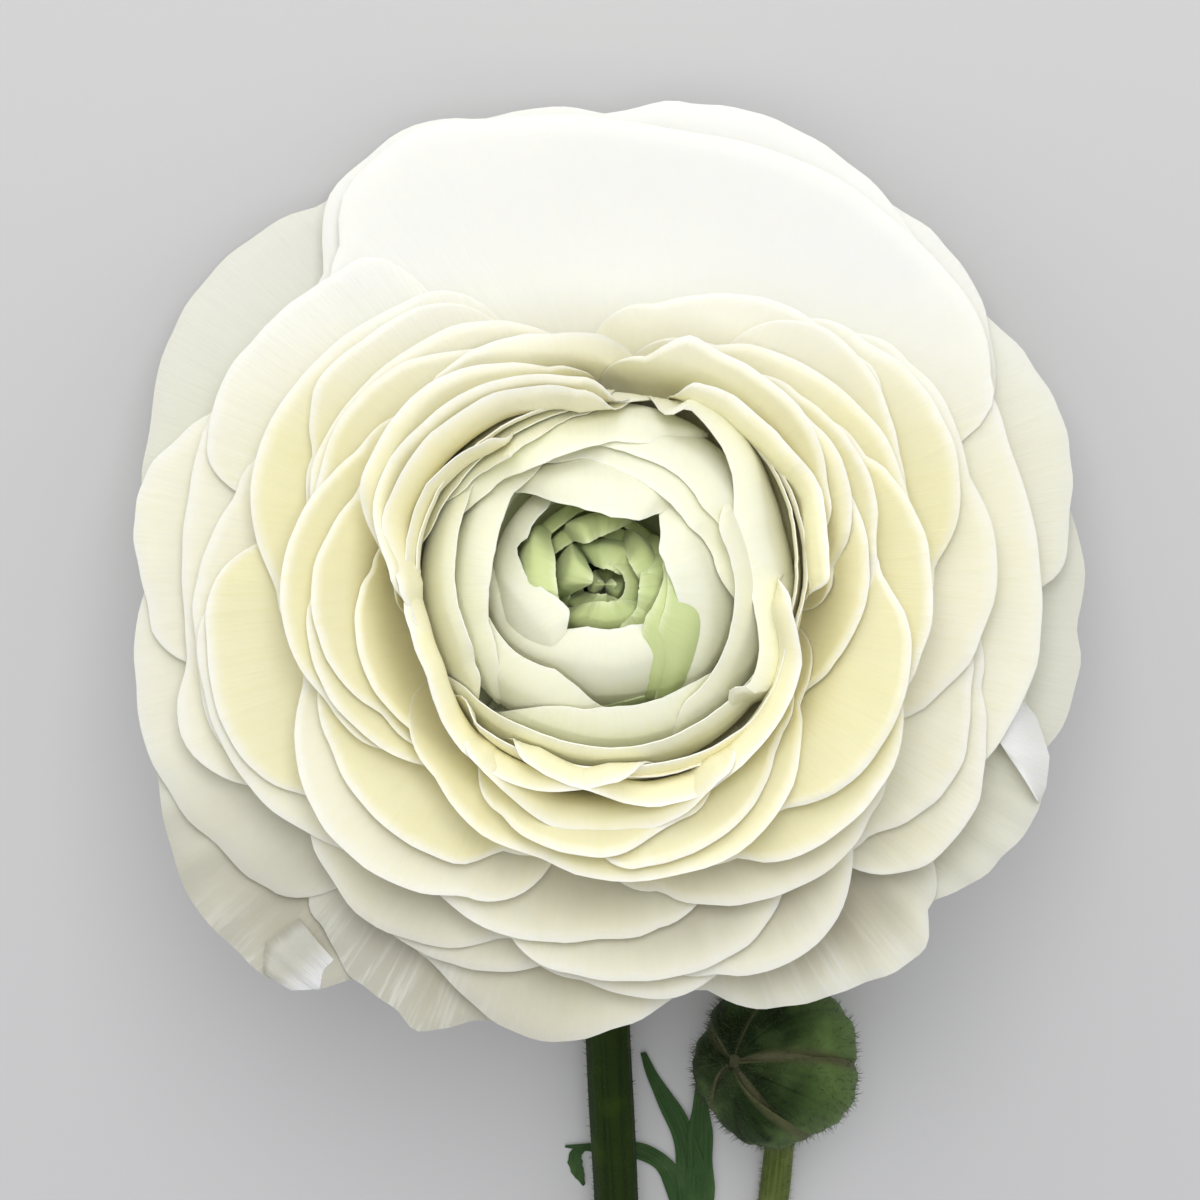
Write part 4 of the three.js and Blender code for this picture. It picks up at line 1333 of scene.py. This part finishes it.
def sepal_points(across, up, index):
    width = np.radians(SEPAL_HALF_WIDTHS[index] * (1 - 0.42 * up**5) * (1 - 0.25 * (1 - up) ** 4))
    sway = 0.1 * np.sin(3 * up + index * 1.7)
    turn = math.tau / 5 * index + across * width + sway * up
    lean = np.radians(SEPAL_FOOT_LEAN + (SEPAL_TIP_LEAN - SEPAL_FOOT_LEAN) * up)
    swell = 0.95 * (1 - across**2) * np.sin(np.pi * up.clip(0, 1) ** 0.8) ** 0.6
    ribs = 0.1 * np.cos(across * 13 + index) * np.sin(np.pi * up) - 0.16 * np.exp(-((across / 0.06) ** 2))
    creases = 0.06 * wobble(across * 3, up * 6, 40 + index, (4, 7, 11))
    radius = BUD_RADIUS - 0.4 + swell + ribs + creases + 0.22 * across - 0.25 * up**6
    return bud_points(lean, turn, up, radius)


bud_sepals = []
for index in range(5):
    name = f"bud_sepal_{index + 1}"
    piece = thick_sheet(name + "_skin", 56, 64, partial(sepal_points, index=index), 0.3)
    finish_piece(piece, SEPAL_SKIN, "sepal_green", name)
    bud_sepals.append(piece)
print("bud sepals:", len(bud_sepals))

# %% [markdown]
# ## Leaf
#
# The leaf is cut into long lobes. Each lobe is a strip round its own middle line, given as x:y points on
# the table, with half widths that swell and then narrow to a blunt tip. All of them run together into one
# narrow stalk, each a hair above the last so that none lies in another's surface.

# %% Leaf
LEAF_LOBES = [
    ("-5.6:118.8 -7.4:110 -9.4:101 -10.1:94 -9.8:87 -8.6:81 -6.6:76.5 -5.3:73.7 -4.3:70.8",
     [0.62, 0.8, 1.5, 2.1, 2.1, 1.7, 1.3, 0.95, 0.3], 0.2),
    ("-5.6:118.6 -7.5:109 -9.7:100 -10.6:92 -10.7:84 -10.7:78 -10.9:73.6",
     [0.6, 0.7, 1.2, 1.6, 1.6, 1.3, 0.5], 0.34),
    ("-5.5:118.4 -6.9:109 -8.6:99 -8.9:92 -7.2:86.4 -4.6:84 -1.6:83.4 1.2:83.3 4.4:83.2",
     [0.55, 0.7, 1.3, 1.5, 1.45, 1.3, 1.1, 0.9, 0.15], 0.06),
    ("1.4:83.3 2.7:83.6 3.3:84.6 3.1:86.2 2.3:88.4", [0.3, 0.6, 0.8, 0.65, 0.12], -0.06),
]
LEAF_THICKNESS = 0.16


def lobe_points(across, up, middle, widths, height):
    line = [(x, y, 0.0) for x, y in pairs(middle)]
    ahead = way_along(line, up, 0.01)
    side = np.stack([-ahead[:, 1], ahead[:, 0], 0 * up], axis=-1)
    width = np.interp(up, np.linspace(0, 1, len(widths)), widths) * (1 + 0.06 * np.sin(up * 40))
    points = path_through(line, up) + side * (across * width)[:, None]
    fold = 0.18 * np.abs(across) * width.clip(0, 1) + 0.05 * np.sin(up * 22 + across * 2)
    points[:, 2] = 0.16 + height * 0.5 + fold
    return (points + SHOOT_FOOT) * MM


lobes = []
for number, (middle, widths, height) in enumerate(LEAF_LOBES):
    shape = partial(lobe_points, middle=middle, widths=widths, height=height)
    lobes.append(thick_sheet(f"lobe_{number}", 16, 90, shape, LEAF_THICKNESS))
pick_nothing()
for lobe in lobes:
    lobe.select_set(True)
bpy.context.view_layer.objects.active = lobes[0]
bpy.ops.object.join()
leaf = bpy.context.object
leaf.name = "leaf_skin"
finish_piece(leaf, LEAF_SKIN, "leaf_green", "leaf")
print("leaf faces:", len(leaf.data.polygons))

# %% [markdown]
# ## Receptacle and sepals of the bloom
#
# The receptacle is the swollen head of the stem, where every petal is seated. It is a profile rolled round
# the axis. Under the outer petals five sepals bend back, and they are made as petals are, on a bowl past the
# flat one. The front view hides them, but a part is looked at from all sides.

# %% Receptacle and sepals of the bloom
NECK_PROFILE = [(0.0, -10.2), (3.08, -10.2), (3.15, -9.4), (3.5, -8.2)]
KNOB_RADIUS = 7.2
KNOB_LEANS = np.radians(np.linspace(130, 0, 30))
KNOB_PROFILE = [(KNOB_RADIUS * math.sin(lean), KNOB_RADIUS * math.cos(lean)) for lean in KNOB_LEANS]
PROFILE = np.array(NECK_PROFILE + KNOB_PROFILE)
SEPAL_LENGTH = 21


def receptacle_shape(turn, along):
    place = along * (len(PROFILE) - 1)
    radius, height = (np.interp(place, np.arange(len(PROFILE)), PROFILE[:, column]) for column in (0, 1))
    radius = radius * (1 - 0.012 * np.abs(np.sin(turn * 6)))
    return on_table(around(radius, turn, height))


receptacle = rolled("receptacle_skin", 72, (len(PROFILE) - 1) * 2, receptacle_shape)
finish_piece(receptacle, STALK_SKIN, "stem_green", "receptacle")

outline = 0.55 + 0.45 * (1 - np.abs(SAMPLES) ** 2.2) ** (1 / 2.2)
for index in range(5):
    sepal = SHAPE_DEFAULTS | {
        "name": f"sepal_{index + 1}", "angle": 54 + 72 * index, "half": 24, "layer": 1.22,
        "lengths": CLAW_RADIUS + (SEPAL_LENGTH - CLAW_RADIUS) * outline, "lips": np.full_like(SAMPLES, 0.5),
        "bend": 10, "dent": 0.1, "wave": 0.15, "seed": 900 + index,
    }
    piece = thick_sheet(
        sepal["name"] + "_skin", 32, 32, lambda across, up: on_table(petal_points(sepal, across, up)), 0.4
    )
    finish_piece(piece, SEPAL_SKIN, "sepal_green", sepal["name"])
print("receptacle faces:", len(receptacle.data.polygons))

# %% [markdown]
# ## Down
#
# Ranunculus stems and sepals are covered with short silky hairs. They show as a pale fringe along every
# edge, which no bump map gives, so each hair is a tiny pyramid that leans towards the tip of its piece.
# Blender's hair system would give curves that other programs can't read, and thousands of copies made one
# by one take too long, so all the hairs of a piece are written as one mesh. They stand on the middles of
# its faces, and `middle` keeps them off the faces that look inwards.

# %% Down
HAIR_SCATTER = 0.12 * MM
HAIR_WIDTH = 0.028 * MM
HAIR_LOWEST = 0.03 * MM
HAIR_FACES = np.array([(0, 1, 3), (1, 2, 3), (2, 0, 3), (0, 2, 1)])


def down(name, pieces, slot, count, length, lean, seed, middle=None):
    random = np.random.default_rng(seed)
    centres = np.concatenate([[face.center for face in piece.data.polygons] for piece in pieces])
    normals = np.concatenate([[face.normal for face in piece.data.polygons] for piece in pieces])
    if middle is not None:
        outside = ((centres - middle) * normals).sum(axis=1) > 0
        centres, normals = centres[outside], normals[outside]
    chosen = random.integers(0, len(centres), count)
    base, out = centres[chosen], normals[chosen]
    base = base + np.cross(out, random.normal(size=(count, 3))) * HAIR_SCATTER
    way = unit(out + np.asarray(lean) + random.normal(size=(count, 3)) * 0.3)
    first = unit(np.cross(way, out + 0.3))
    second = np.cross(way, first)
    tips = base + way * (length * random.uniform(0.5, 1.15, count) * MM)[:, None]
    back = base - first * HAIR_WIDTH / 2
    corners = [base + first * HAIR_WIDTH, back + second * HAIR_WIDTH, back - second * HAIR_WIDTH]
    points = np.stack([*corners, tips], axis=1).reshape(-1, 3)
    points[:, 2] = points[:, 2].clip(HAIR_LOWEST, None)
    faces = (np.arange(count)[:, None, None] * 4 + HAIR_FACES).reshape(-1, 3)
    mesh = bpy.data.meshes.new(name)
    mesh.from_pydata(points.tolist(), [], faces.tolist())
    mesh.uv_layers.new(name="UVMap")
    piece = bpy.data.objects.new(name, mesh)
    bpy.context.scene.collection.objects.link(piece)
    finish_piece(piece, DOWN_SKIN, slot)
    print(name, "has", count, "hairs")


bud_middle = (BUD_CENTRE + SHOOT_FOOT) * MM
down("bud_down", bud_sepals, "sepal_green", 3600, 1.0, (0.25, -0.3, 0.25), 1, bud_middle)
down("stem_down", [stem], "stem_green", 2200, 0.55, (0.0, -0.5, 0.0), 2)
down("stalk_down", [stalk], "stalk_green", 1500, 0.55, (0.0, -0.5, 0.0), 3)
